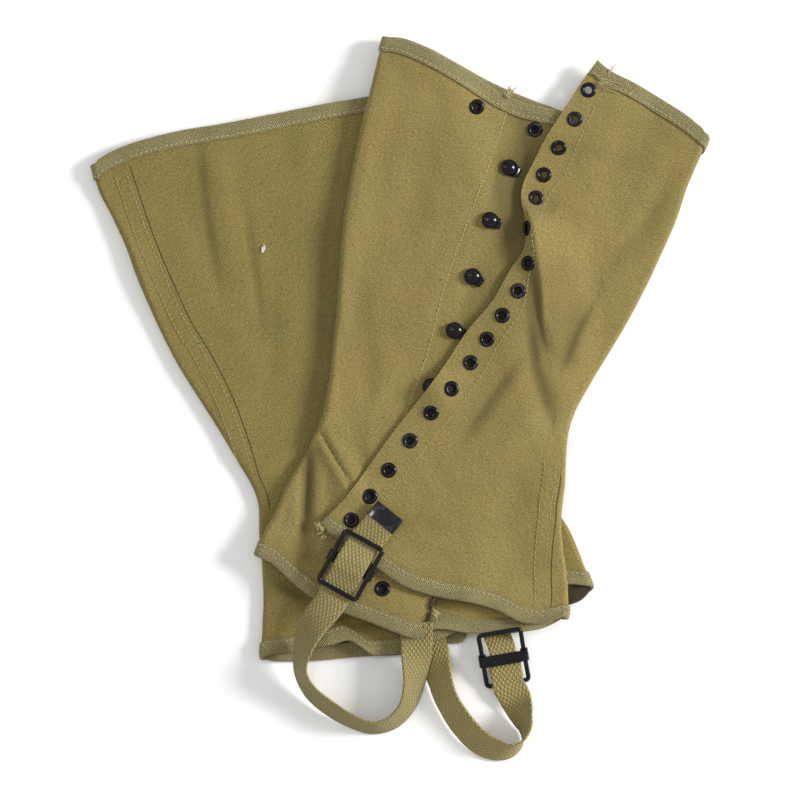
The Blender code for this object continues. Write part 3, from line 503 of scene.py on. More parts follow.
def b_seam(up):
    return np.maximum(b_seam_line(up), b_left(up) + SEAM_INSIDE)


def b_opening(up):
    return B_OPENING + 0.0 * up


def moved(column, distance):
    return lambda up: column(up) + distance


# Sections of the panels, run the way the cloth goes; share is of the height from the hem
def flap_section(share):
    outer = flat_run(A_FLAP, a_flap_edge, a_crest, 6 * FINE, share)
    return outer[:-1] + flat_run(A_FLAP, a_crest, a_seam, 9 * FINE, share)


def hook_side_section(share):
    right = roll_start(a_right, 1, A_FLAP, A_BACK, share)
    left = roll_start(a_left, -1, A_FRONT, A_BACK, share)
    return (flat_run(A_FLAP, a_seam, right, 4, share)
            + roll(right, 1, A_FLAP, A_BACK, share)
            + flat_run(A_BACK, right, left, 10 * FINE, share)
            + roll(left, -1, A_BACK, A_FRONT, share)
            + flat_run(A_FRONT, left, a_stitch, 7 * FINE, share))


def facing_section(share):
    return flat_run(A_FRONT, a_stitch, moved(a_stitch, FACING_WIDTH), 5 * FINE, share)


def b_outer_section(share):
    right = roll_start(b_right, 1, B_TOP, B_UNDER, share)
    return (flat_run(B_TOP, b_seam, right, 16 * FINE, share)
            + roll(right, 1, B_TOP, B_UNDER, share)
            + flat_run(B_UNDER, right, b_opening, 5 * FINE, share))


def b_inner_section(share):
    left = roll_start(b_left, -1, B_TOP, B_UNDER, share)
    return (flat_run(B_UNDER, b_opening, left, 8 * FINE, share)
            + roll(left, -1, B_UNDER, B_TOP, share)
            + flat_run(B_TOP, left, b_seam, 2 * FINE, share))


def placed(place, points):
    """Columns of plan points as a grid of world points, in millimetres: row, column, axis."""
    even_columns = np.array([np.broadcast_arrays(*column) for column in points])
    across, up, height = even_columns.transpose(1, 2, 0)
    x, y = to_world(place, across, up)
    return np.stack([x, y, height], axis=2)


def grid_normals(grid):
    """Unit normals of a grid of points, out of the cloth's face."""
    normals = np.cross(np.gradient(grid, axis=1), np.gradient(grid, axis=0))
    return normals / np.linalg.norm(normals, axis=2, keepdims=True)


# Looks. Each keeps the goods' own name; colours are as the eye sees them
def linear(hex_colour, shade=1.0):
    """An sRGB hex colour as a linear RGBA value, made lighter or darker by shade."""
    parts = [int(hex_colour[n:n + 2], 16) / 255 for n in (1, 3, 5)]
    parts = [p / 12.92 if p <= 0.04045 else ((p + 0.055) / 1.055) ** 2.4 for p in parts]
    return (*(min(p * shade, 1.0) for p in parts), 1.0)


OLIVE_TINT = (0.95, 1.015, 0.99, 1.0)
TAN_TINT = (1.07, 0.98, 0.92, 1.0)


def per_metre(pitch_mm):
    """The scale that gives a noise texture this pitch, on coordinates in metres."""
    return 1000.0 / pitch_mm


def bands_per_metre(pitch_mm):
    """The same for a wave texture, whose bands repeat every tenth of pi at a scale of 1."""
    return 0.314 * per_metre(pitch_mm)


class Look:
    """A material with its nodes."""

    def __init__(self, name, colour, roughness, **settings):
        self.material = bpy.data.materials.new(name)
        self.material.use_nodes = True
        self.tree = self.material.node_tree
        self.shader = self.tree.nodes["Principled BSDF"]
        self.shader.inputs["Base Color"].default_value = linear(colour)
        self.shader.inputs["Roughness"].default_value = roughness
        for socket, value in settings.items():
            self.shader.inputs[socket.replace("_", " ")].default_value = value

    def add(self, kind, inputs, output=0, **settings):
        """Add a node; each input is a value or another node's output."""
        node = self.tree.nodes.new("ShaderNode" + kind)
        for name, value in settings.items():
            setattr(node, name, value)
        for socket, value in inputs.items():
            if isinstance(value, bpy.types.NodeSocket):
                self.tree.links.new(value, node.inputs[socket])
            else:
                node.inputs[socket].default_value = value
        return node.outputs[output]

    def mix(self, factor, first, second):
        """The first colour blended into the second."""
        return self.add("Mix", {0: factor, 6: first, 7: second}, 2, data_type="RGBA")

    def tinted(self, base, factor):
        """The base colour drawn towards olive or, where factor is high, towards tan."""
        tint = self.mix(factor, OLIVE_TINT, TAN_TINT)
        return self.add("Mix", {0: 1.0, 6: base, 7: tint}, 2, data_type="RGBA",
                        blend_type="MULTIPLY")

    def sum(self, first, second, share):
        """first + share * second"""
        return self.add("Math", {0: second, 1: share, 2: first}, operation="MULTIPLY_ADD")

    def ramp(self, value, low, high, to_low=0.0, to_high=1.0):
        return self.add("MapRange", {0: value, 1: low, 2: high, 3: to_low, 4: to_high})

    def set(self, socket, value):
        self.tree.links.new(value, self.shader.inputs[socket])

    def relief(self, height, depth_mm, strength=1.0):
        bump = self.add("Bump", {"Height": height, "Distance": depth_mm * MM,
                                 "Strength": strength})
        self.tree.links.new(bump, self.shader.inputs["Normal"])


TWILL_PITCH = 1.35      # between the raised diagonal lines of the duck
YARN_PITCH = 0.8


def cotton_duck(name, colour, lean):
    """Khaki cotton duck: slanted twill lines, slubby yarn that turns from olive to tan, fading in
    soft patches, painted shade in the creases' troughs and in shaded places, dark flecks and a dry,
    dull face."""
    look = Look(name, colour, 0.94, Sheen_Weight=0.06, Sheen_Roughness=0.6, Specular_IOR_Level=0.2)
    cloth = look.add("UVMap", {}, uv_map="cloth")
    turned = look.add("Mapping", {0: cloth, "Rotation": (0.0, 0.0, math.radians(lean))})
    twill = look.add("TexWave", {"Vector": turned, "Scale": bands_per_metre(TWILL_PITCH),
                                 "Distortion": 0.9, "Detail": 3.0, "Detail Scale": 1.8,
                                 "Detail Roughness": 0.7}, 1)
    along = look.add("Mapping", {0: turned, "Scale": (1.0, 0.4, 1.0)})
    yarn = look.add("TexNoise", {"Vector": along, "Scale": per_metre(YARN_PITCH), "Detail": 2.0,
                                 "Roughness": 0.7})
    slub = look.add("TexNoise", {"Vector": along, "Scale": per_metre(2.2), "Detail": 3.0,
                                 "Roughness": 0.65})
    patch = look.add("TexNoise", {"Vector": cloth, "Scale": per_metre(46.0), "Detail": 4.0,
                                  "Roughness": 0.6, "Distortion": 0.4})
    streak_way = look.add("Mapping", {0: cloth, "Scale": (1.0, 0.16, 1.0)})
    streak = look.add("TexNoise", {"Vector": streak_way, "Scale": per_metre(15.0), "Detail": 2.0})
    hue = look.add("TexNoise", {"Vector": along, "Scale": per_metre(1.3), "Detail": 2.0,
                                "Roughness": 0.7, "W": 4.0}, noise_dimensions="4D")
    hue_patch = look.add("TexNoise", {"Vector": cloth, "Scale": per_metre(34.0), "Detail": 2.0,
                                      "W": 9.0}, noise_dimensions="4D")
    fleck = look.add("TexNoise", {"Vector": cloth, "Scale": per_metre(2.6), "Detail": 1.0,
                                  "Roughness": 0.4})
    painted_shade_value = look.add("Attribute", {}, 2, attribute_name="painted_shade")
    base = look.mix(look.ramp(patch, 0.32, 0.68), linear(colour, 0.88), linear(colour, 1.12))
    base = look.mix(look.ramp(streak, 0.38, 0.72, 0.0, 0.25), base, linear(colour, 1.22))
    base = look.mix(look.ramp(slub, 0.34, 0.66, 0.0, 0.14), base, linear(colour, 0.66))
    base = look.mix(look.ramp(twill, 0.2, 0.8, 0.55, 0.0), base, linear(colour, 0.45))
    base = look.mix(look.ramp(yarn, 0.40, 0.64, 0.0, 0.62), base, linear(colour, 1.6))
    base = look.tinted(base, look.ramp(look.sum(hue, hue_patch, 0.4), 0.50, 0.90))
    # Painted shade: darker in the troughs of the creases and in the places listed as shaded
    base = look.mix(look.ramp(painted_shade_value, 0.0, 1.0, 0.0, 0.8), base, linear(colour, 0.42))
    base = look.mix(look.ramp(fleck, 0.735, 0.78, 0.0, 0.6), base, linear(colour, 0.25))
    look.set("Base Color", base)
    look.relief(look.sum(look.sum(twill, yarn, 0.9), slub, 0.6), 0.25, 0.8)
    return look.material


def herringbone_tape(name, colour):
    """Herringbone cotton tape: fine ribs that meet in a point along its middle, paler and
    greener than the duck."""
    look = Look(name, colour, 0.9, Sheen_Weight=0.12, Sheen_Roughness=0.6, Specular_IOR_Level=0.25)
    cloth = look.add("UVMap", {}, uv_map="cloth")
    parts = look.add("SeparateXYZ", {0: cloth})
    over = look.add("SeparateXYZ", {0: cloth}, 1)
    half = TAPE_WIDTH / 2 * MM
    from_middle = look.add("Math", {0: look.add("Math", {0: over, 1: half}, operation="SUBTRACT")},
                           operation="ABSOLUTE")
    slanted = look.add("CombineXYZ", {0: look.sum(parts, from_middle, 1.0), 1: over})
    rib = look.add("TexWave", {"Vector": slanted, "Scale": bands_per_metre(1.45),
                               "Distortion": 1.2, "Detail": 1.5, "Detail Scale": 1.2}, 1)
    yarn = look.add("TexNoise", {"Vector": cloth, "Scale": per_metre(0.8), "Detail": 2.0})
    patch = look.add("TexNoise", {"Vector": cloth, "Scale": per_metre(24.0), "Detail": 3.0})
    hue = look.add("TexNoise", {"Vector": cloth, "Scale": per_metre(2.2), "Detail": 3.0})
    base = look.mix(look.ramp(patch, 0.35, 0.68), linear(colour, 0.82), linear(colour, 1.16))
    base = look.mix(look.ramp(rib, 0.15, 0.75, 0.8, 0.0), base, linear(colour, 0.28))
    base = look.mix(look.ramp(yarn, 0.42, 0.64, 0.0, 0.62), base, linear(colour, 1.75))
    base = look.tinted(base, look.ramp(hue, 0.36, 0.66))
    # Painted shade on the tape inside the lower gaiter's open hem
    painted_shade_value = look.add("Attribute", {}, 2, attribute_name="painted_shade")
    base = look.mix(look.ramp(painted_shade_value, 0.0, 1.0, 0.0, 0.9), base, linear("#2A220F"))
    look.set("Base Color", base)
    look.relief(look.sum(rib, yarn, 0.5), 0.5, 0.9)
    return look.material


def cotton_webbing(name, colour):
    """Heavy cotton webbing: thick warp cords that bulge in staggered lozenges."""
    look = Look(name, colour, 0.9, Sheen_Weight=0.1, Sheen_Roughness=0.6, Specular_IOR_Level=0.25)
    web = look.add("UVMap", {}, uv_map="cloth")
    rough_web = look.add("TexNoise", {"Vector": web, "Scale": per_metre(3.0), "Detail": 2.0}, 1)
    web = look.add("VectorMath", {0: rough_web, 1: (0.0007, 0.0007, 0.0), 2: web},
                   operation="MULTIPLY_ADD")
    waves = []
    for lean in (-34.0, 34.0):
        turned = look.add("Mapping", {0: web, "Rotation": (0.0, 0.0, math.radians(lean))})
        waves.append(look.add("TexWave", {"Vector": turned, "Scale": bands_per_metre(2.3),
                                          "Distortion": 0.6, "Detail": 1.0}, 1))
    lozenge = look.add("Math", {0: waves[0], 1: waves[1]}, operation="MULTIPLY")
    grain = look.add("TexNoise", {"Vector": web, "Scale": per_metre(0.7), "Detail": 2.0})
    patch = look.add("TexNoise", {"Vector": web, "Scale": per_metre(30.0), "Detail": 3.0})
    rough_grain = look.add("TexNoise", {"Vector": web, "Scale": per_metre(2.0), "Detail": 3.0})
    base = look.mix(look.ramp(patch, 0.35, 0.68), linear(colour, 0.86), linear(colour, 1.12))
    base = look.mix(look.ramp(lozenge, 0.0, 0.42, 0.70, 0.0), base, linear(colour, 0.34))
    base = look.mix(look.ramp(grain, 0.42, 0.68, 0.0, 0.42), base, linear(colour, 1.55))
    base = look.tinted(base, look.ramp(rough_grain, 0.36, 0.66))
    look.set("Base Color", base)
    look.relief(look.sum(lozenge, grain, 0.3), 0.8, 0.9)
    return look.material


def japanned_steel(name, colour, rubbed):
    """Black japanned steel: glossy black, a little violet, thinner and greyer where rubbed."""
    look = Look(name, colour, 0.2, Coat_Weight=0.2, Coat_Roughness=0.05, Specular_IOR_Level=0.15)
    place = look.add("TexCoord", {}, 3)
    rub = look.add("TexNoise", {"Vector": place, "Scale": per_metre(3.2), "Detail": 4.0,
                                "Roughness": 0.7})
    grain = look.add("TexNoise", {"Vector": place, "Scale": per_metre(0.9), "Detail": 2.0})
    look.set("Base Color", look.mix(look.ramp(rub, 0.52, 0.74, 0.0, rubbed), linear(colour),
                                    linear("#6A6C78")))
    look.set("Roughness", look.ramp(grain, 0.3, 0.75, 0.12, 0.28))
    look.relief(look.sum(grain, rub, 0.6), 0.03, 0.4)
    return look.material


def cotton_thread(name, colour):
    """Cotton thread and small bits of cloth: twisted, with a dull, slightly hairy face."""
    look = Look(name, colour, 0.85, Sheen_Weight=0.15, Specular_IOR_Level=0.3)
    place = look.add("TexCoord", {}, 3)
    twist = look.add("TexNoise", {"Vector": place, "Scale": per_metre(0.6), "Detail": 2.0})
    look.set("Base Color", look.mix(look.ramp(twist, 0.3, 0.7), linear(colour, 0.7),
                                    linear(colour, 1.15)))
    look.relief(twist, 0.1, 0.6)
    return look.material


DUCK_A = cotton_duck("cotton_duck_upper_gaiter", "#817344", 48.0)
DUCK_B = cotton_duck("cotton_duck_lower_gaiter", "#7B6E3F", -34.0)
TAPE_LOOK = herringbone_tape("herringbone_cotton_tape", "#877E55")
WEB_A = cotton_webbing("cotton_webbing_upper", "#918454")
WEB_B = cotton_webbing("cotton_webbing_lower", "#9C8D58")
BLACK = japanned_steel("japanned_steel", "#0E0D11", 0.06)
BLACK_RUBBED = japanned_steel("japanned_steel_rubbed", "#17161B", 0.32)
THREAD = cotton_thread("sewing_cotton", "#B5A876")
FADED_THREAD = cotton_thread("sewing_cotton_faded", "#A79A6C")
DARK_THREAD = cotton_thread("soiled_yarn", "#3A2F1C")
# Painted shadow: a dark thread laid along the fold at a lap's edge
PAINTED_FOLD_SHADOW = cotton_thread("painted_fold_shadow", "#4B4224")
LINT = cotton_thread("lint", "#DDD8C4")
# Painted shade: dark discs stand for the cloth in shadow behind the eyelets' holes
PAINTED_HOLE_SHADE = cotton_thread("painted_shade_behind_holes", "#120E07")
FLOOR_WHITE = Look("white_paper_floor", "#F8F8F7", 0.9).material


SHARP_EDGE = 62.0       # degrees between faces


def piece(name, points, faces, look, slot, uvs=None, stands_for=(), painted_darkness=None):
    """A mesh piece from points in millimetres; uvs, in metres, and the values of painted shade are
    one for each point.
    """
    mesh = bpy.data.meshes.new(name)
    mesh.from_pydata(((np.asarray(points) - MIDDLE) * MM).tolist(), [], faces)
    if uvs is not None:
        corners = np.empty(len(mesh.loops), int)
        mesh.loops.foreach_get("vertex_index", corners)
        layer = mesh.uv_layers.new(name="cloth")
        layer.data.foreach_set("uv", np.asarray(uvs)[corners].ravel())
    if painted_darkness is not None:
        mesh.attributes.new("painted_shade", "FLOAT", "POINT").data.foreach_set("value", painted_darkness)
    bm = bmesh.new()
    bm.from_mesh(mesh)
    bmesh.ops.recalc_face_normals(bm, faces=bm.faces)
    bm.to_mesh(mesh)
    bm.free()
    mesh.shade_smooth()
    mesh.set_sharp_from_angle(angle=math.radians(SHARP_EDGE))
    mesh.materials.append(look)
    obj = bpy.data.objects.new(name, mesh)
    bpy.context.scene.collection.objects.link(obj)
    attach(obj, "root")
    if stands_for:
        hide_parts(*stands_for)
    return obj


def run_lengths(grid, axis):
    """Distance run along an axis of a grid of points, from its first line."""
    steps = np.linalg.norm(np.diff(grid, axis=axis), axis=2)
    first = np.zeros_like(np.take(steps, [0], axis=axis))
    return np.cumsum(np.concatenate([first, steps], axis=axis), axis=axis)


def cloth_uvs(place, grid):
    """Places on the flat cloth, in metres. The weave runs straight up the plan at both ends of
    the panel, and the folds between them share out the difference."""
    across, up = to_plan(place, grid[..., 0], grid[..., 1])
    steps = np.hypot(np.diff(across, axis=1), np.diff(grid[..., 2], axis=1))
    run = np.concatenate([np.zeros((len(grid), 1)), np.cumsum(steps, axis=1)], 1)
    way_in = np.sign(across[0, 1] - across[0, 0])
    way_out = np.sign(across[0, -1] - across[0, -2])
    from_first = run + way_in * across[:, :1]
    from_last = run - run[:, -1:] + way_out * across[:, -1:]
    from_last += (from_first[:, -1] - from_last[:, -1]).mean()
    share = soft_step(0.3, 0.7, np.linspace(0, 1, grid.shape[1]))
    return np.stack([(1 - share) * from_first + share * from_last, up], 2) * MM


def pierced_cells(grid, holes):
    """Which cells of a grid are cut away for eyelets."""
    centres = (grid[:-1, :-1] + grid[1:, :-1] + grid[:-1, 1:] + grid[1:, 1:]) / 4
    cut = np.zeros(centres.shape[:2], bool)
    for hole in holes:
        cut |= np.linalg.norm(centres - hole, axis=2) < PIERCED_RADIUS
    return cut


FULL_SHADE_DEPTH = 2.2    # depth of a trough at which its painted shade is full
MOUTH_TOP = 4.6         # between the lower and the upper wall of the open hem


def painted_shade(place, grid, normals, creases, shade_paint):
    """Painted shade on a panel's upper side: darker in the creases' troughs and in the places listed
    as shaded, from 0 to 1.
    """
    across, up = to_plan(place, grid[..., 0], grid[..., 1])
    troughs = np.maximum(-creases_height(creases, across, up) / FULL_SHADE_DEPTH, 0)
    painted_darkness = troughs + creases_height(shade_paint, across, up)
    return np.clip(painted_darkness, 0, 1) * (normals[..., 2] > 0.3)


def mouth_shade(place, spots):
    """How dark the inside of the lower gaiter's open hem is, from 0 to 1."""
    if place is PLACE_A:
        return np.zeros(len(spots))
    across, up = to_plan(place, spots[:, 0], spots[:, 1])
    return np.clip(crease_height(B_MOUTH, across, up), 0, 1) * (spots[:, 2] < MOUTH_TOP)


def cloth_wall(name, grid, normals, look, uvs, painted_darkness, holes, stands_for):
    """A wall of cloth round a middle surface, pierced where its eyelets go."""
    height, width = grid.shape[:2]
    offset = normals * CANVAS / 2
    points = np.concatenate([(grid + offset).reshape(-1, 3), (grid - offset).reshape(-1, 3)])
    number = np.arange(height * width).reshape(height, width)
    cells = np.stack([number[:-1, :-1], number[:-1, 1:], number[1:, 1:], number[1:, :-1]], 2)
    cells = cells[~pierced_cells(grid, holes)]
    sides = np.stack([cells, np.roll(cells, -1, axis=1)], 2).reshape(-1, 2).tolist()
    shared = set(map(tuple, sides))
    rim = np.array([(a, b) for a, b in sides if (b, a) not in shared])
    back = height * width
    edge = np.stack([rim[:, 1], rim[:, 0], rim[:, 0] + back, rim[:, 1] + back], 1)
    faces = np.concatenate([cells, cells[:, ::-1] + back, edge]).tolist()
    both_uvs = np.concatenate([uvs.reshape(-1, 2)] * 2)
    return piece(name, points, faces, look, "canvas", both_uvs, stands_for,
                 np.concatenate([painted_darkness.ravel()] * 2))


def tube_faces(rings, size, closed_run=False):
    """Faces between rings of the same size, one after another, and over the open ends."""
    faces = []
    for i in range(rings if closed_run else rings - 1):
        for j in range(size):
            k, n = (i + 1) % rings, (j + 1) % size
            faces.append((i * size + j, i * size + n, k * size + n, k * size + j))
    if not closed_run:
        faces += [tuple(range(size)), tuple((rings - 1) * size + j for j in range(size))]
    return faces


# Over the surface that the pair lies on
LOWEST_TAPE, LOWEST_STITCH = 0.05, 0.1
# Rows of the tape's section: depth from the edge, distance from the cloth's middle
TAPE_OUT = ((9.5, 1.0), (9.2, 1.06), (8.6, 1.02), (7.6, 0.98), (6.4, 1.04), (5.0, 1.06),
            (3.6, 1.04), (2.2, 1.0), (1.1, 0.98), (0.35, 0.80), (0.0, 0.42))
FOLD_ROW = 8            # where the inside of the folded tape turns


def tape_grid(place, section, at_rim):
    """The panel's own rows at the depths of the tape's section."""
    depths = np.array([row[0] for row in TAPE_OUT])
    share = depths / GAITER_HEIGHT
    share = 1 - share if at_rim else share
    grid = placed(place, section(np.sort(share)))
    return grid if at_rim else grid[::-1]


def binding(name, place, section, at_rim):
    """Folded tape over a panel's edge, with a slightly uneven inner edge."""
    grid = tape_grid(place, section, at_rim)
    normals = grid_normals(grid) * (1 if at_rim else -1)
    width = grid.shape[1]
    along = run_lengths(grid[-2:-1], 1)[0]
    uneven = 1 + 0.035 * np.sin(along / 5.1) + 0.03 * np.sin(along / 13.7 + 1.0)
    inner = (CANVAS / 2 + SEAM_GAP) / TAPE_REACH
    section_rows = ([(n, out) for n, (_, out) in enumerate(TAPE_OUT)]
                    + [(n, -out) for n, (_, out) in reversed(list(enumerate(TAPE_OUT)))]
                    + [(0, -inner), (FOLD_ROW, -inner), (FOLD_ROW, inner), (0, inner)])
    rings = np.array([grid[n] + normals[n] * (out * TAPE_REACH * np.sqrt(uneven))[:, None]
                      for n, out in section_rows]).transpose(1, 0, 2)
    rings[..., 2] = np.maximum(rings[..., 2], LOWEST_TAPE)
    over = [-TAPE_OUT[n][0] if out < 0 else TAPE_OUT[n][0] for n, out in section_rows]
    uvs = np.array([[(a, depth) for depth in over] for a in along]) * MM
    return piece(name, rings.reshape(-1, 3), tube_faces(width, len(section_rows)), TAPE_LOOK,
                 "tape", np.abs(uvs).reshape(-1, 2), (name.replace("_cloth", ""),),
                 mouth_shade(place, rings.reshape(-1, 3)))


STITCH, STITCH_PITCH, THREAD_RADIUS = 2.4, 3.3, 0.28
TAPE_STITCH_DEPTH = 7.7     # from the bound edge
# A stitch from end to end: share of its length, rise, swell
STITCH_SHAPE = ((-0.5, -0.35, 0.5), (-0.36, 0.08, 0.9), (-0.12, 0.2, 1.0), (0.12, 0.2, 1.0),
                (0.36, 0.08, 0.9), (0.5, -0.35, 0.5))


def stitches(name, lines, rng, look=THREAD):
    """Rows of lock stitches: short threads that dip into the cloth at both ends."""
    points, faces = [], []
    one_stitch = tube_faces(len(STITCH_SHAPE), STITCH_SIDES)
    for line, normals in lines:
        line, normals = np.asarray(line), np.asarray(normals)
        run = run_lengths(line[None], 1)[0]
        at = STITCH_PITCH
        while at < run[-1] - STITCH_PITCH:
            length = STITCH * rng.uniform(0.82, 1.12)
            spot = at + length * np.array([share for share, _, _ in STITCH_SHAPE])
            middle = np.stack([np.interp(spot, run, line[:, n]) for n in range(3)], 1)
            out = np.stack([np.interp(at, run, normals[:, n]) for n in range(3)])
            out /= np.linalg.norm(out)
            way = (middle[-1] - middle[0]) / np.linalg.norm(middle[-1] - middle[0])
            aside = np.cross(way, out)
            middle += aside * rng.uniform(-0.14, 0.14)
            first = len(points)
            for centre, (_, rise, swell) in zip(middle, STITCH_SHAPE):
                for k in range(STITCH_SIDES):
                    turn = math.tau * k / STITCH_SIDES
                    points.append(centre + out * (rise + THREAD_RADIUS * swell * math.sin(turn))
                                  + aside * THREAD_RADIUS * swell * math.cos(turn))
            faces += [tuple(first + n for n in face) for face in one_stitch]
            at += STITCH_PITCH * rng.uniform(0.94, 1.06)
    points = np.array(points)
    points[:, 2] = np.maximum(points[:, 2], LOWEST_STITCH)
    return piece(name, points, faces, look, "tape")


def surface_line(face, place, across_at, low, high, outwards=CANVAS / 2, step=1.2):
    """A line on a face, from height low to high, along a column, and the normals there."""
    up = np.arange(low, high, step)
    across = across_at(up) + 0.0 * up
    return surface_points(face, place, across, up, outwards)


def surface_points(face, place, across, up, outwards=CANVAS / 2):
    """Points set off outwards from a face's middle, and the normals there."""
    def at(a, v):
        return np.stack([*to_world(place, a, v), face.height(a, v)], -1)
    side = at(across + 0.8, up) - at(across - 0.8, up)
    rise = at(across, up + 0.8) - at(across, up - 0.8)
    normal = np.cross(side, rise)
    normal /= np.linalg.norm(normal, axis=-1, keepdims=True)
    return at(across, up) + normal * outwards, normal


def seat_frame(face, place, across, up, outwards):
    """Centre and axes of a small piece that sits on a face."""
    a, v = np.array(float(across)), np.array(float(up))
    centre, normal = surface_points(face, place, a, v, outwards)
    ahead, _ = surface_points(face, place, a + 1.0, v, outwards)
    side = ahead - centre
    side -= normal * np.dot(side, normal)
    side /= np.linalg.norm(side)
    return centre, side, np.cross(normal, side), normal


def turned_points(seat, profile, count, narrow=1.0, dents=0.0):
    """Rings of a turned piece; profile rows are radius and height."""
    centre, side, rise, normal = seat
    points = []
    for radius, height in profile:
        for k in range(count):
            turn = math.tau * k / count
            reach = radius * (1 + dents * (math.sin(3 * turn + height) + 0.6 * math.sin(5 * turn)))
            points.append(centre + normal * height + side * reach * math.cos(turn)
                          + rise * narrow * reach * math.sin(turn))
    return points


# Radius and height over the cloth
EYELET_PROFILE = ((2.35, -1.3), (2.35, 0.0), (2.45, 0.45), (2.7, 0.72), (3.0, 0.98), (3.4, 1.12),
                  (3.9, 1.08), (4.35, 0.85), (4.7, 0.5), (4.95, 0.1), (5.0, -0.25), (4.6, -0.42),
                  (2.8, -0.5), (2.7, -1.3))


def eyelet(name, face, across, up, number):
    """A rolled eyelet set through the cloth, with a short barrel behind."""
    seat = seat_frame(face, PLACE_A, across, up, CANVAS / 2)
    points = turned_points(seat, EYELET_PROFILE, EYELET_SIDES, dents=0.006)
    return piece(name, points, tube_faces(len(EYELET_PROFILE), EYELET_SIDES, True),
                 BLACK_RUBBED if number % 3 == 2 else BLACK, "black_metal",
                 stands_for=(name.replace("_ring", ""),))


HOOK_PROFILE = ((3.6, -0.1), (4.7, 0.0), (4.9, 0.3), (4.5, 0.7), (2.4, 0.9), (2.2, 1.4), (5.0, 1.5),
                (5.5, 1.75), (5.6, 2.1), (5.4, 2.6), (4.9, 3.2), (4.1, 3.8), (3.1, 4.3), (2.0, 4.65),
                (1.0, 4.85), (0.2, 4.9))
# The hook's tongue: distance out, half width, lowest and highest
HOOK_TONGUE = ((2.6, 3.3, 0.9, 2.5), (4.8, 3.6, 0.95, 2.6), (6.6, 3.5, 1.0, 2.5),
               (7.4, 3.1, 1.1, 2.2), (7.6, 2.5, 1.3, 1.9))
HOOK_TURNS = (-14, -8, -22, -10, -16)   # degrees, of the tongues in the plan


def squarish(value):
    """A cosine or sine pushed outwards, which makes a round section nearly square."""
    return math.copysign(abs(value) ** 0.5, value)


def hook(name, across, up, number):
    """A lacing hook: a washer on the cloth, a neck, a domed cap and its tongue."""
    seat = seat_frame(A_FRONT, PLACE_A, across, up, CANVAS / 2)
    points = turned_points(seat, HOOK_PROFILE, HOOK_SIDES, 0.94, 0.008)
    faces = tube_faces(len(HOOK_PROFILE), HOOK_SIDES)
    centre, side, rise, normal = seat
    way = math.radians(HOOK_TURNS[number])
    out = side * math.cos(way) + rise * math.sin(way)
    aside = rise * math.cos(way) - side * math.sin(way)
    first = len(points)
    for reach, half, low, high in HOOK_TONGUE:
        middle, depth = (low + high) / 2, (high - low) / 2
        for k in range(TONGUE_SIDES):
            turn = math.tau * k / TONGUE_SIDES
            points.append(centre + out * reach + aside * half * squarish(math.cos(turn))
                          + normal * (middle + depth * squarish(math.sin(turn))))
    tongue = tube_faces(len(HOOK_TONGUE), TONGUE_SIDES)
    faces += [tuple(first + n for n in face) for face in tongue]
    return piece(name, points, faces, BLACK, "black_metal", stands_for=(name.replace("_cap", ""),))


# Flap eyelets, other eyelets and hooks: across, up
FLAP_EYELETS = (
    (27.4, 329), (23.9, 309), (18.7, 289), (14.0, 270), (13.0, 254.5), (12.9, 234.5), (19.0, 213),
    (17.2, 194.5), (11.6, 177), (6.2, 160), (0.0, 143), (-7.5, 124), (-16, 106), (-24.2, 85.5),
    (-32.4, 64), (-39.6, 45), (-47.1, 27.5))
FRONT_EYELETS = ((-38.2, 300.5), (1.3, 296.5), (-16.8, -9.5))
HOOKS = ((-8.8, 268.5), (-11.8, 233), (-13.2, 196), (-15.3, 160), (-20.2, 122))


WEB_FLAT, WEB_EDGE = 0.96, 0.45     # shares of a web's half width and half thickness


def ribbon(name, stations, width, thick, look, inner_left, stands_for):
    """A web with rounded edges along stations of (x, y, z, tilt of its inner edge)."""
    stations = np.array(stations, float)
    reads = [curve(list(enumerate(stations[:, n]))) for n in range(4)]
    ends = len(stations) - 1
    at = np.linspace(0, ends, ends * WEB_STEPS + 1)
    path = np.stack([read(at) for read in reads[:3]], axis=1)
    tilts = np.radians(reads[3](at))
    run = run_lengths(path[None], 1)[0]
    half, depth = width / 2, thick / 2
    section = ([(half * s, depth) for s in np.linspace(WEB_FLAT, -WEB_FLAT, 13)]
               + [(-half, depth * WEB_EDGE), (-half, -depth * WEB_EDGE)]
               + [(half * s, -depth) for s in np.linspace(-WEB_FLAT, WEB_FLAT, 13)]
               + [(half, -depth * WEB_EDGE), (half, depth * WEB_EDGE)])
    points, uvs = [], []
    for point, along, tilt, length in zip(path, np.gradient(path, axis=0), tilts, run):
        along = along / np.linalg.norm(along)
        left = np.cross((0, 0, 1), along)
        left /= np.linalg.norm(left)
        inner = left if inner_left else -left
        upward = np.cross(along, left)
        across = inner * math.cos(tilt) + upward * math.sin(tilt)
        flat = np.cross(along, across)
        wander = 1 + 0.006 * math.sin(length / 3.1) + 0.005 * math.sin(length / 1.3)
        for x, z in section:
            points.append(point + across * x * wander + flat * z)
            uvs.append((x * MM, length * MM))
    return piece(name, points, tube_faces(len(path), len(section)), look, "webbing", uvs,
                 stands_for)


class Seat:
    """A buckle's place: centre, turn in the plan, pitch of its top end, and which way up."""

    def __init__(self, centre, turn, pitch, face_up):
        t, p = math.radians(turn), math.radians(pitch)
        self.centre = np.array(centre, float)
        self.y = np.array((math.cos(t) * math.cos(p), math.sin(t) * math.cos(p), math.sin(p)))
        side = np.array((math.sin(t), -math.cos(t), 0.0))
        self.x = side if face_up else -side
        self.z = np.cross(self.x, self.y)

    def point(self, x, y, z):
        """A point given in the buckle's own axes."""
        return self.centre + self.x * x + self.y * y + self.z * z

    def station(self, x, y, z, tilt=0.0):
        """A web's station given in the buckle's own axes."""
        return (*self.point(x, y, z), tilt)


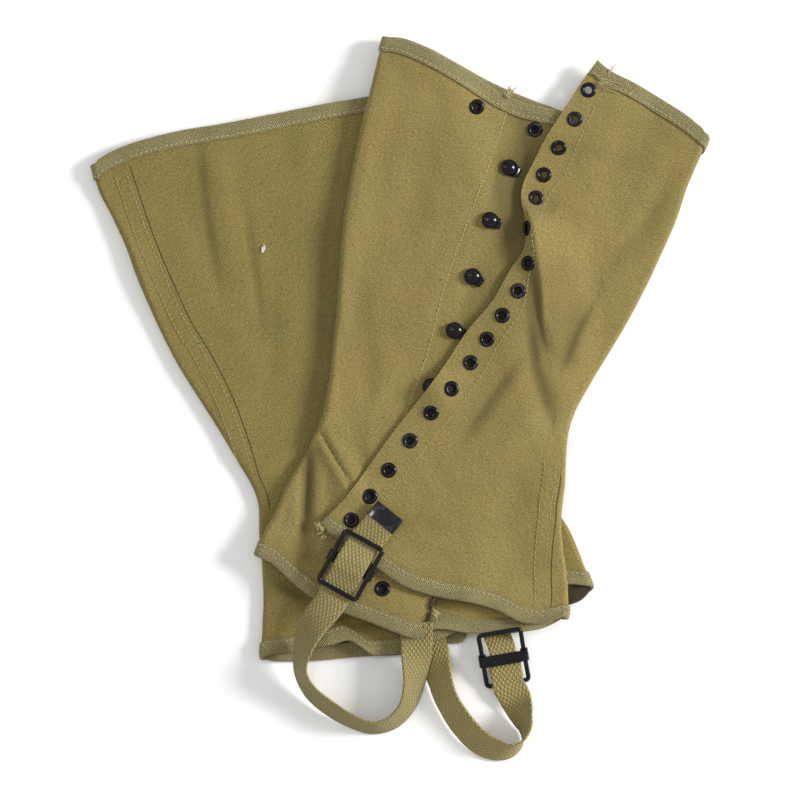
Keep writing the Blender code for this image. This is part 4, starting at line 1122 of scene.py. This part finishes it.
SEAT_A = Seat((-31.2, -104.1, BUCKLE_A_HEIGHT), 61.0, 0.0, True)
SEAT_B = Seat((65.6, -163.2, BUCKLE_B_HEIGHT), 100.0, 22.0, False)
# Where the crimped end of strap A begins and stops, in the buckle's own axes
TIP_FROM, TIP_STOP = (2.4, 25, -2.9), (5.2, 41, -3.4)


def buckle_frame(name, seat):
    """A wire rectangle with rounded corners, its wire a little flattened."""
    half_w, half_l, bend, sides = (FRAME_WIDTH - WIRE) / 2, (FRAME_LENGTH - WIRE) / 2, 2.2, 18
    middles = []
    for cx, cy, start in ((1, 1, 0), (-1, 1, 90), (-1, -1, 180), (1, -1, 270)):
        for k in range(CORNER_POINTS):
            turn = math.radians(start + 90 * k / (CORNER_POINTS - 1))
            out = np.array((math.cos(turn), math.sin(turn)))
            middles.append((np.array((cx * (half_w - bend), cy * (half_l - bend))) + bend * out,
                            out))
    last = CORNER_POINTS - 1        # of a corner's points; a straight bar follows
    points = []
    for n, (middle, out) in enumerate(middles):
        follow, _ = middles[(n + 1) % len(middles)]
        for share in ((0.0,) if n % CORNER_POINTS < last else (0.0, 0.2, 0.4, 0.6, 0.8)):
            here = (1 - share) * middle + share * follow
            # The top bar bows out a little, the others bow in
            bow = 0.12 * math.sin(math.pi * share) * (1 if n == last else -1)
            for k in range(sides):
                turn = math.tau * k / sides
                x, y = here + out * (WIRE / 2 * math.cos(turn) + bow)
                points.append(seat.point(x, y, 0.96 * WIRE / 2 * math.sin(turn)))
    return piece(name, points, tube_faces(len(points) // sides, sides, True), BLACK,
                 "black_metal", stands_for=(name.replace("_wire", ""),))


# Where the plate's outline is set along the strap, and how large: the rim is a little smaller
PLATE_RINGS = ((-0.5, 0.985), (-0.5, 1.0), (-0.46, 1.0), (0.46, 1.0), (0.5, 1.0), (0.5, 0.985))


def buckle_plate(name, seat):
    """The cross plate, its ends curled round the frame's long sides, edges softened."""
    side = (FRAME_WIDTH - WIRE) / 2
    inner = WIRE / 2 + SEAM_GAP
    outer = inner + PLATE_THICK
    turns = [math.radians(-90 + 252 * k / 20) for k in range(21)]
    half = ([(side + outer * math.cos(t), outer * math.sin(t)) for t in turns]
            + [(side + inner * math.cos(t), inner * math.sin(t)) for t in reversed(turns)])
    left = [(-x, z) for x, z in reversed(half)]
    outline = half + left
    middle = np.array(outline).mean(axis=0)
    points = []
    for y, inset in PLATE_RINGS:
        for x, z in outline:
            points.append(seat.point(middle[0] + (x - middle[0]) * inset, y * PLATE_LENGTH * inset,
                                     z))
    return piece(name, points, tube_faces(len(PLATE_RINGS), len(outline)), BLACK, "black_metal",
                 stands_for=(name.replace("_sheet", ""),))


# Chape of buckle A, in the buckle's own axes: y, z
CHAPE_A = ((-3.4, -0.7), (0, -0.7), (3.8, -0.7), (7, -1.8), (11, -3.3), (14, -4.3))


def on_hem(place, height, x, y):
    """Height of a web that lies on a bound hem inside the tube."""
    return height(*to_plan(place, x, y)) + TAPE_REACH + 1.5 * SEAM_GAP + WEB_THICK / 2


def straps():
    """The instep straps, and the short webs that hold the buckles."""
    a, b = SEAT_A, SEAT_B
    # Stations: x, y, z and the tilt of the web's inner edge, in degrees
    root_a = [(10.5, y, on_hem(PLACE_A, a_back_calm, 10.5, y), 0) for y in (-140.5, -147)]
    root_b = [(x, y, on_hem(PLACE_B, b_under_calm, 19, -152), 0)
              for x, y in ((17.4, -142.5), (19.3, -153), (20.0, -156.5))]
    strap_a = root_a + [
        (10.5, -157, 14.8, 12), (10.2, -166.1, 13.2, 30), (8.9, -180, 11.6, 50),
        (4.4, -194, 10.5, 60), (-5.1, -204.2, 10.3, 64), (-17.8, -207.3, 10.3, 66),
        (-31.8, -202.6, 10.4, 64), (-45.1, -194.6, 10.6, 61), (-56.5, -184.5, 12.4, 64),
        (-62.9, -171.1, 16.6, 68), (-61.2, -157, 19.6, 56), (-54.6, -141.5, 20.4, 30),
        a.station(0.2, -27, -2.6, 8), a.station(0, -18, -2.5), a.station(0, -10, -0.8),
        a.station(0, -4, 1.1), a.station(0, 0, 1.2), a.station(0, 4, 1.0),
        a.station(0.3, 10, -0.9), a.station(1.0, 18, -2.6),
        a.station(*TIP_FROM), a.station(*TIP_STOP)]
    strap_b = root_b + [
        (22.2, -164.8, 5.8, 20), (25.4, -177.5, 8.0, 40), (29.8, -190.2, 8.2, 44),
        (39.4, -205.4, 7.9, 40), (50.8, -216.9, 7.9, 40), (62.5, -221.6, 8.8, 48),
        (71.5, -220.6, 10.2, 66), (77.6, -215.2, 10.9, 88), (79.2, -207.5, 10.2, 112),
        (77.4, -200.5, 8.4, 134), (74.9, -193.5, 6.4, 154), (72.0, -186.8, 5.2, 172),
        b.station(0, -18, -2.7, 180), b.station(0, -11, -0.9, 180),
        b.station(0, -4.5, 1.1, 180), b.station(0, 0, 1.2, 180), b.station(0, 1.8, 1.2, 180)]
    chape_b = [b.station(0, -3.4, -0.7), b.station(0, 0, -0.7), b.station(0, 4.0, -0.6),
               (63.6, -154.5, 11.2, 0), (61.6, -149, 8.8, 0), (59.6, -143.5, 6.2, 0),
               (58.2, -138, 4.75, 0), (56.6, -131.5, 4.7, 0)]
    ribbon("a_strap_web", strap_a, WEB_WIDTH, WEB_THICK, WEB_A, False, ("a_strap",))
    ribbon("b_strap_web", strap_b, WEB_WIDTH, WEB_THICK, WEB_B, True, ("b_strap",))
    ribbon("a_chape_web", [a.station(0, y, z) for y, z in CHAPE_A], CHAPE_WIDTH, CHAPE_THICK,
           WEB_A, True, ("a_chape",))
    ribbon("b_chape_web", chape_b, CHAPE_WIDTH, CHAPE_THICK, WEB_B, True, ("b_chape",))


def strap_tip():
    """The crimped steel end of strap A: a folded sheet round the web's end."""
    inner = WEB_THICK / 2 + 0.05
    outer = inner + TIP_THICK
    bend = [math.radians(-90 + 180 * k / 8) for k in range(9)]
    outline = ([(-TIP_LENGTH + TIP_THICK, -outer)]
               + [(0.2 + outer * 0.8 * math.cos(t), outer * math.sin(t)) for t in bend]
               + [(-TIP_LENGTH + TIP_THICK, outer), (-TIP_LENGTH + TIP_THICK, inner),
                  (0.0, inner), (0.0, -inner), (-TIP_LENGTH + TIP_THICK, -inner)])
    start, stop = SEAT_A.point(*TIP_FROM), SEAT_A.point(*TIP_STOP)
    along = (stop - start) / np.linalg.norm(stop - start)
    side = np.cross(along, (0, 0, 1))
    side /= np.linalg.norm(side)
    above = np.cross(side, along)
    half = WEB_WIDTH / 2 + 0.1
    points = []
    crimps = ((-half, 0.86), (-half + 0.5, 1.0), (-half / 3, 0.94), (half / 3, 1.0),
              (half - 0.5, 1.0), (half, 0.86))
    for x, squeeze in crimps:
        points += [stop + along * y + above * z * squeeze + side * x for y, z in outline]
    return piece("a_strap_tip_sheet", points, tube_faces(len(crimps), len(outline)), BLACK_RUBBED,
                 "black_metal", stands_for=("a_strap_tip",))


def loose_thread(points, radius):
    """Rings of a loose thread along a few points."""
    line = np.array(points, float)
    reads = [curve(list(enumerate(line[:, n]))) for n in range(3)]
    at = np.linspace(0, len(line) - 1, 6 * len(line))
    path = np.stack([read(at) for read in reads], 1)
    rings = []
    for centre, way in zip(path, np.gradient(path, axis=0)):
        way = way / (np.linalg.norm(way) + 1e-9)
        aside = np.cross(way, (0.3, 0.2, 1.0))
        aside /= np.linalg.norm(aside)
        other = np.cross(way, aside)
        rings += [centre + radius * (aside * math.cos(math.tau * k / THREAD_SIDES)
                                     + other * math.sin(math.tau * k / THREAD_SIDES))
                  for k in range(THREAD_SIDES)]
    return rings, tube_faces(len(path), THREAD_SIDES)


def bundle(start, end, count, spread, rng, bend):
    """Runs of threads that lie side by side, each bent and cut off a little differently."""
    start, end = np.array(start, float), np.array(end, float)
    way = (end - start) / np.linalg.norm(end - start)
    aside = np.array((-way[1], way[0]))
    runs = []
    for _ in range(count):
        shift = aside * rng.uniform(-spread, spread)
        first = start + shift + way * rng.uniform(-1.0, 1.0)
        last = first + (end - start) * rng.uniform(0.55, 1.05) + aside * rng.uniform(-bend, bend)
        runs.append((first, (first + last) / 2 + aside * rng.uniform(-bend, bend) * 0.6, last))
    return runs


def threads(name, face, place, runs, look, rng, radius, lift):
    """Loose threads that lie on a face along runs of (across, up)."""
    points, faces = [], []
    for run in runs:
        across, up = np.array(run, float).T
        line, normals = surface_points(face, place, across, up, CANVAS / 2)
        line += normals * np.array([rng.uniform(*lift) for _ in run])[:, None]
        rings, tube = loose_thread(line, radius)
        faces += [tuple(len(points) + n for n in f) for f in tube]
        points += rings
    return piece(name, points, faces, look, "tape")


# Panel, its place, section, tapes, look, and the creases and painted shade of its upper side
PANELS = (
    ("a_eyelet_panel", PLACE_A, flap_section, "a_eyelet", DUCK_A, A_FLAP_CREASES,
     A_FLAP_PAINTED_SHADE),
    ("a_hook_panel", PLACE_A, hook_side_section, "a_hook", DUCK_A, A_HOOK_SIDE_CREASES, ()),
    ("a_hook_facing", PLACE_A, facing_section, "a_facing", DUCK_A, A_PLACKET_CREASES,
     A_FACING_PAINTED_SHADE),
    ("b_outer_panel", PLACE_B, b_outer_section, "b_outer", DUCK_B, B_CREASES, B_PAINTED_SHADE),
    ("b_inner_panel", PLACE_B, b_inner_section, "b_inner", DUCK_B, B_CREASES, B_PAINTED_SHADE))


def eyelet_spots(panel):
    """The middles of the eyelets that pierce a panel."""
    spots = {"a_eyelet_panel": [(A_FLAP, spot) for spot in FLAP_EYELETS],
             "a_hook_panel": [(A_FRONT, FRONT_EYELETS[0])],
             "a_hook_facing": [(A_FRONT, spot) for spot in FRONT_EYELETS[1:]]}
    return [surface_points(face, PLACE_A, np.array(float(a)), np.array(float(v)), 0.0)[0]
            for face, (a, v) in spots.get(panel, [])]


def tape_stitch_line(place, section, at_rim):
    """A sewing line along a tape, on its outer face."""
    shares = (TAPE_STITCH_DEPTH + np.array((-1.0, 0.0, 1.0))) / GAITER_HEIGHT
    shares = np.sort(1 - shares) if at_rim else shares
    grid = placed(place, section(shares))
    normals = grid_normals(grid)[1]
    return grid[1] + normals * (TAPE_REACH + 0.02), normals


Cut = namedtuple("Cut", "cloth flat area going_with")


def dress():
    """The panels with their tapes; returns how each panel is cut."""
    rng = random.Random(41)
    cut = {}
    for name, place, section, tape, look, creases, shade_paint in PANELS:
        edge = CLOTH_INSET / GAITER_HEIGHT
        grid = placed(place, section(np.linspace(edge, 1 - edge, ROWS)))
        normals = grid_normals(grid)
        cloth = cloth_wall(name + "_cloth", grid, normals, look, cloth_uvs(place, grid),
                           painted_shade(place, grid, normals, creases, shade_paint), eyelet_spots(name),
                           (name,))
        going_with = []
        for at_rim, end in ((False, "_hem_tape"), (True, "_rim_tape")):
            going_with.append(binding(tape + end + "_cloth", place, section, at_rim))
            going_with.append(stitches(tape + end + "_stitches",
                                       [tape_stitch_line(place, section, at_rim)], rng))
        wide, tall = run_lengths(grid, 1)[:, -1].max(), run_lengths(grid, 0)[-1].max()
        cells = np.cross(grid[1:, :-1] - grid[:-1, :-1], grid[:-1, 1:] - grid[:-1, :-1])
        area = np.linalg.norm(cells, axis=2).sum()
        cut[name] = Cut(cloth, (wide * MM, tall * MM), area * MM * MM, going_with)
    return cut


def declare_cut(cut):
    for name, sheet in cut.items():
        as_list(sheet.going_with)


LAP_WIDTH = 13.5
# Section of a lap: distance from its edge, rise over the panel, painted shade in the step
LAP_SECTION = ((-13.5, -0.5, 0.0), (-12.2, -0.1, 0.0), (-9.5, 0.32, 0.0), (-6.5, 0.4, 0.0),
               (-3.0, 0.3, 0.0), (-1.1, 0.6, 0.0), (-0.3, 0.55, 0.3), (0.1, 0.25, 1.0),
               (0.5, 0.08, 1.0), (1.1, -0.3, 1.0))


def lap(name, face, place, across_at, left_at, low, high, look):
    """The sewn-down lap of a seam, which ends in a small step with painted shade in it. It narrows
    where the panel's left edge comes near."""
    up = np.arange(low, high, 2.0)
    across = across_at(up)
    narrowed = np.clip((across - left_at(up) - 1.0) / LAP_WIDTH, 0.08, 1.0)
    line = [surface_points(face, place, across + (out * narrowed if out < 0 else out), up,
                           CANVAS / 2 + rise) for out, rise, _ in LAP_SECTION]
    top = [spots for spots, _ in line]
    below = [spots - normals * 0.5 for spots, normals in reversed(line)]
    rings = np.stack(top + below, 1)
    outs = [out for out, _, _ in LAP_SECTION]
    painted_darkness = [shade_paint for _, _, shade_paint in LAP_SECTION]
    uvs = np.array([[(a + out, v) for out in outs + outs[::-1]] for a, v in zip(across, up)]) * MM
    return piece(name, rings.reshape(-1, 3), tube_faces(len(up), rings.shape[1]), look, "canvas",
                 uvs.reshape(-1, 2), painted_darkness=np.array((painted_darkness + painted_darkness[::-1]) * len(up)))


def lap_edge(name, face, place, across_at, low, high):
    """A dark thread along the edge of a lap: painted shadow in the fold."""
    line, _ = surface_line(face, place, moved(across_at, 0.45), low, high, CANVAS / 2 + 0.05, 6.0)
    return piece(name, *loose_thread(line, 0.42), PAINTED_FOLD_SHADOW, "canvas")


def a_lap(up):
    """The dark edge of the lap on the flap, kept inside the right edge."""
    return np.minimum(a_lap_line(up), a_right(up) - 4.0)


def sew(cut):
    """The laps of the seams and the rows of stitches, each with the panel that carries it."""
    rng = random.Random(17)
    on_lap = CANVAS / 2 + 0.2
    cut["a_eyelet_panel"].going_with.extend((
        lap("a_seam_lap", A_FLAP, PLACE_A, a_lap, a_flap_edge, 1, 94, DUCK_A),
        lap_edge("a_seam_fold_shadow", A_FLAP, PLACE_A, a_lap, 4, 94),
        stitches("a_seam_stitches", [
            surface_line(A_FLAP, PLACE_A, moved(a_lap, -3.2), 6, 98, on_lap),
            surface_line(A_FLAP, PLACE_A, moved(a_lap, -10.4), 6, 98, on_lap)],
            rng, FADED_THREAD),
        stitches("a_eyelet_facing_stitches", [
            surface_line(A_FLAP, PLACE_A, lambda up: a_flap_edge(up) + a_flap_row(up),
                         12, 336)], rng, FADED_THREAD)))
    cut["a_hook_panel"].going_with.append(
        stitches("a_placket_stitches", [
            surface_line(A_FRONT, PLACE_A, moved(a_stitch, -0.9), -18, 306)], rng))
    cut["b_inner_panel"].going_with.extend((
        lap("b_seam_lap", B_TOP, PLACE_B, b_seam, b_left, 109, 341, DUCK_B),
        lap_edge("b_seam_fold_shadow", B_TOP, PLACE_B, b_seam, 100, 340),
        stitches("b_seam_stitches", [
            surface_line(B_TOP, PLACE_B, moved(b_seam, -3.0), 124, 336, on_lap),
            surface_line(B_TOP, PLACE_B, moved(b_seam, -10.4), 134, 336, on_lap)],
            rng, FADED_THREAD)))


def loosen():
    """Frayed ends, loose threads and lint where the photo shows them."""
    rng = random.Random(23)
    edge = [(float(a_stitch(up)) + FACING_WIDTH, up) for up in (-29.0, -22.0, -14.0, -6.0)]
    runs = []
    for start, end in zip(edge, edge[1:]):
        runs += bundle((start[0] - 1.2, start[1]), (end[0] - 1.2, end[1]), 7, 1.5, rng, 0.5)
    threads("a_facing_frayed_edge", A_FRONT, PLACE_A, runs, DARK_THREAD, rng, 0.3, (0.0, 1.2))
    threads("a_facing_pale_fray", A_FRONT, PLACE_A,
            bundle((17.5, -15.0), (22.5, -17.0), 9, 1.6, rng, 1.6), THREAD, rng, 0.24, (0.4, 1.6))
    threads("a_flap_frayed_corner", A_FLAP, PLACE_A,
            bundle((-63.0, 17.0), (-67.0, 22.0), 12, 2.6, rng, 1.4)
            + bundle((-61.0, 14.5), (-64.5, 12.5), 8, 2.2, rng, 1.0), THREAD, rng, 0.2, (0.0, 0.9))
    threads("a_rim_knot", A_FRONT, PLACE_A,
            bundle((-21.5, 311.0), (-20.0, 318.5), 10, 1.3, rng, 1.8)
            + bundle((-23.0, 313.5), (-17.0, 314.5), 6, 1.2, rng, 1.5),
            FADED_THREAD, rng, 0.34, (1.2, 2.6))
    threads("a_flap_rim_frays", A_FLAP, PLACE_A,
            bundle((37.0, 342.0), (39.5, 350.5), 3, 0.8, rng, 0.8)
            + bundle((33.0, 336.0), (50.0, 335.0), 7, 3.0, rng, 1.2)
            + bundle((52.0, 333.0), (58.0, 342.0), 2, 1.0, rng, 0.8),
            FADED_THREAD, rng, 0.22, (1.1, 2.0))
    threads("b_lint", B_TOP, PLACE_B, bundle((-22.0, 256.0), (-19.5, 261.0), 4, 0.7, rng, 1.2),
            LINT, rng, 0.4, (0.2, 0.8))


HOLE_BACK_PROFILE = ((2.6, -1.2), (2.6, -0.95), (0.4, -0.9))
SEE_THROUGH = 6         # the first flap eyelets, which show what lies under them


def hole_backs(spots):
    """Dark discs behind the eyelets' holes: painted shade that stands for the cloth below in shadow,
    seen through the holes.
    """
    points, faces = [], []
    for face, (across, up) in spots:
        seat = seat_frame(face, PLACE_A, across, up, CANVAS / 2)
        disc = tube_faces(len(HOLE_BACK_PROFILE), HOLE_SIDES)
        faces += [tuple(len(points) + n for n in f) for f in disc]
        points += turned_points(seat, HOLE_BACK_PROFILE, HOLE_SIDES)
    return piece("a_painted_hole_shade", points, faces, PAINTED_HOLE_SHADE, "canvas")


def fit_metal():
    """Eyelets, hooks, buckles and the strap's tip."""
    hole_backs([(A_FLAP, spot) for spot in FLAP_EYELETS[SEE_THROUGH:]]
               + [(A_FRONT, spot) for spot in FRONT_EYELETS])
    for number, (across, up) in enumerate(FLAP_EYELETS, 1):
        eyelet(f"a_flap_eyelet_{number:02d}_ring", A_FLAP, across, up, number)
    for number, (across, up) in enumerate(FRONT_EYELETS, 1):
        eyelet(f"a_front_eyelet_{number}_ring", A_FRONT, across, up, number)
    for number, (across, up) in enumerate(HOOKS):
        hook(f"a_hook_{number + 1}_cap", across, up, number)
    for side, seat in (("a", SEAT_A), ("b", SEAT_B)):
        buckle_frame(side + "_buckle_frame_wire", seat)
        buckle_plate(side + "_buckle_plate_sheet", seat)
    strap_tip()


# One large soft light from the right, a soft fill, and a small lamp above that gives the
# black metal its glints: name, place in metres, size in metres, power
LAMPS = (("key_light", (4.04, 0.75, 2.1), 1.2, 258.0), ("fill_light", (-2.4, 1.5, 3.8), 2.4, 16.0),
         ("top_light", (-0.45, 0.5, 2.6), 0.26, 7.0))
ROOM_BRIGHTNESS = 0.60
FLOOR_DROP = 0.0004     # metres, so that the floor touches nothing
CAMERA_HEIGHT = 3.0     # metres
FILM_WIDTH = 36.0
VIEW_WIDTH = 508.0      # what the photo shows from side to side at the surface


def lay_floor():
    """A white paper floor."""
    bm = bmesh.new()
    bmesh.ops.create_grid(bm, x_segments=1, y_segments=1, size=6.0)
    mesh = bpy.data.meshes.new("floor")
    bm.to_mesh(mesh)
    bm.free()
    mesh.materials.append(FLOOR_WHITE)
    floor = bpy.data.objects.new("floor", mesh)
    floor.location.z = -FLOOR_DROP
    bpy.context.scene.collection.objects.link(floor)


def hang_lamps():
    """The lamps, all turned to the pair, and a white room."""
    for name, place, size, power in LAMPS:
        light = bpy.data.lights.new(name, "AREA")
        light.size, light.energy = size, power
        lamp = bpy.data.objects.new(name, light)
        lamp.location = place
        lamp.rotation_euler = (-Vector(place)).to_track_quat("-Z", "Y").to_euler()
        bpy.context.scene.collection.objects.link(lamp)
    world = bpy.data.worlds.new("white_room")
    world.use_nodes = True
    background = world.node_tree.nodes["Background"]
    background.inputs["Color"].default_value = (1.0, 1.0, 1.0, 1.0)
    background.inputs["Strength"].default_value = ROOM_BRIGHTNESS
    bpy.context.scene.world = world


def set_camera():
    """A camera straight above, which sees what the photo shows."""
    scene = bpy.context.scene
    scene.view_settings.view_transform = "Standard"
    camera = bpy.data.cameras.new("camera")
    camera.sensor_width = FILM_WIDTH
    camera.lens = FILM_WIDTH * CAMERA_HEIGHT / (VIEW_WIDTH * MM)
    camera.clip_end = 20.0
    eye = bpy.data.objects.new("camera", camera)
    eye.location = (-MIDDLE[0] * MM, -MIDDLE[1] * MM, CAMERA_HEIGHT)
    scene.collection.objects.link(eye)
    scene.camera = eye


# The lamps and cameras that were there before
for leftover in list(bpy.data.objects):
    if leftover.type in {"LIGHT", "CAMERA"}:
        bpy.data.objects.remove(leftover)
cut = dress()
sew(cut)
loosen()
fit_metal()
straps()
declare_cut(cut)
lay_floor()
hang_lamps()
set_camera()
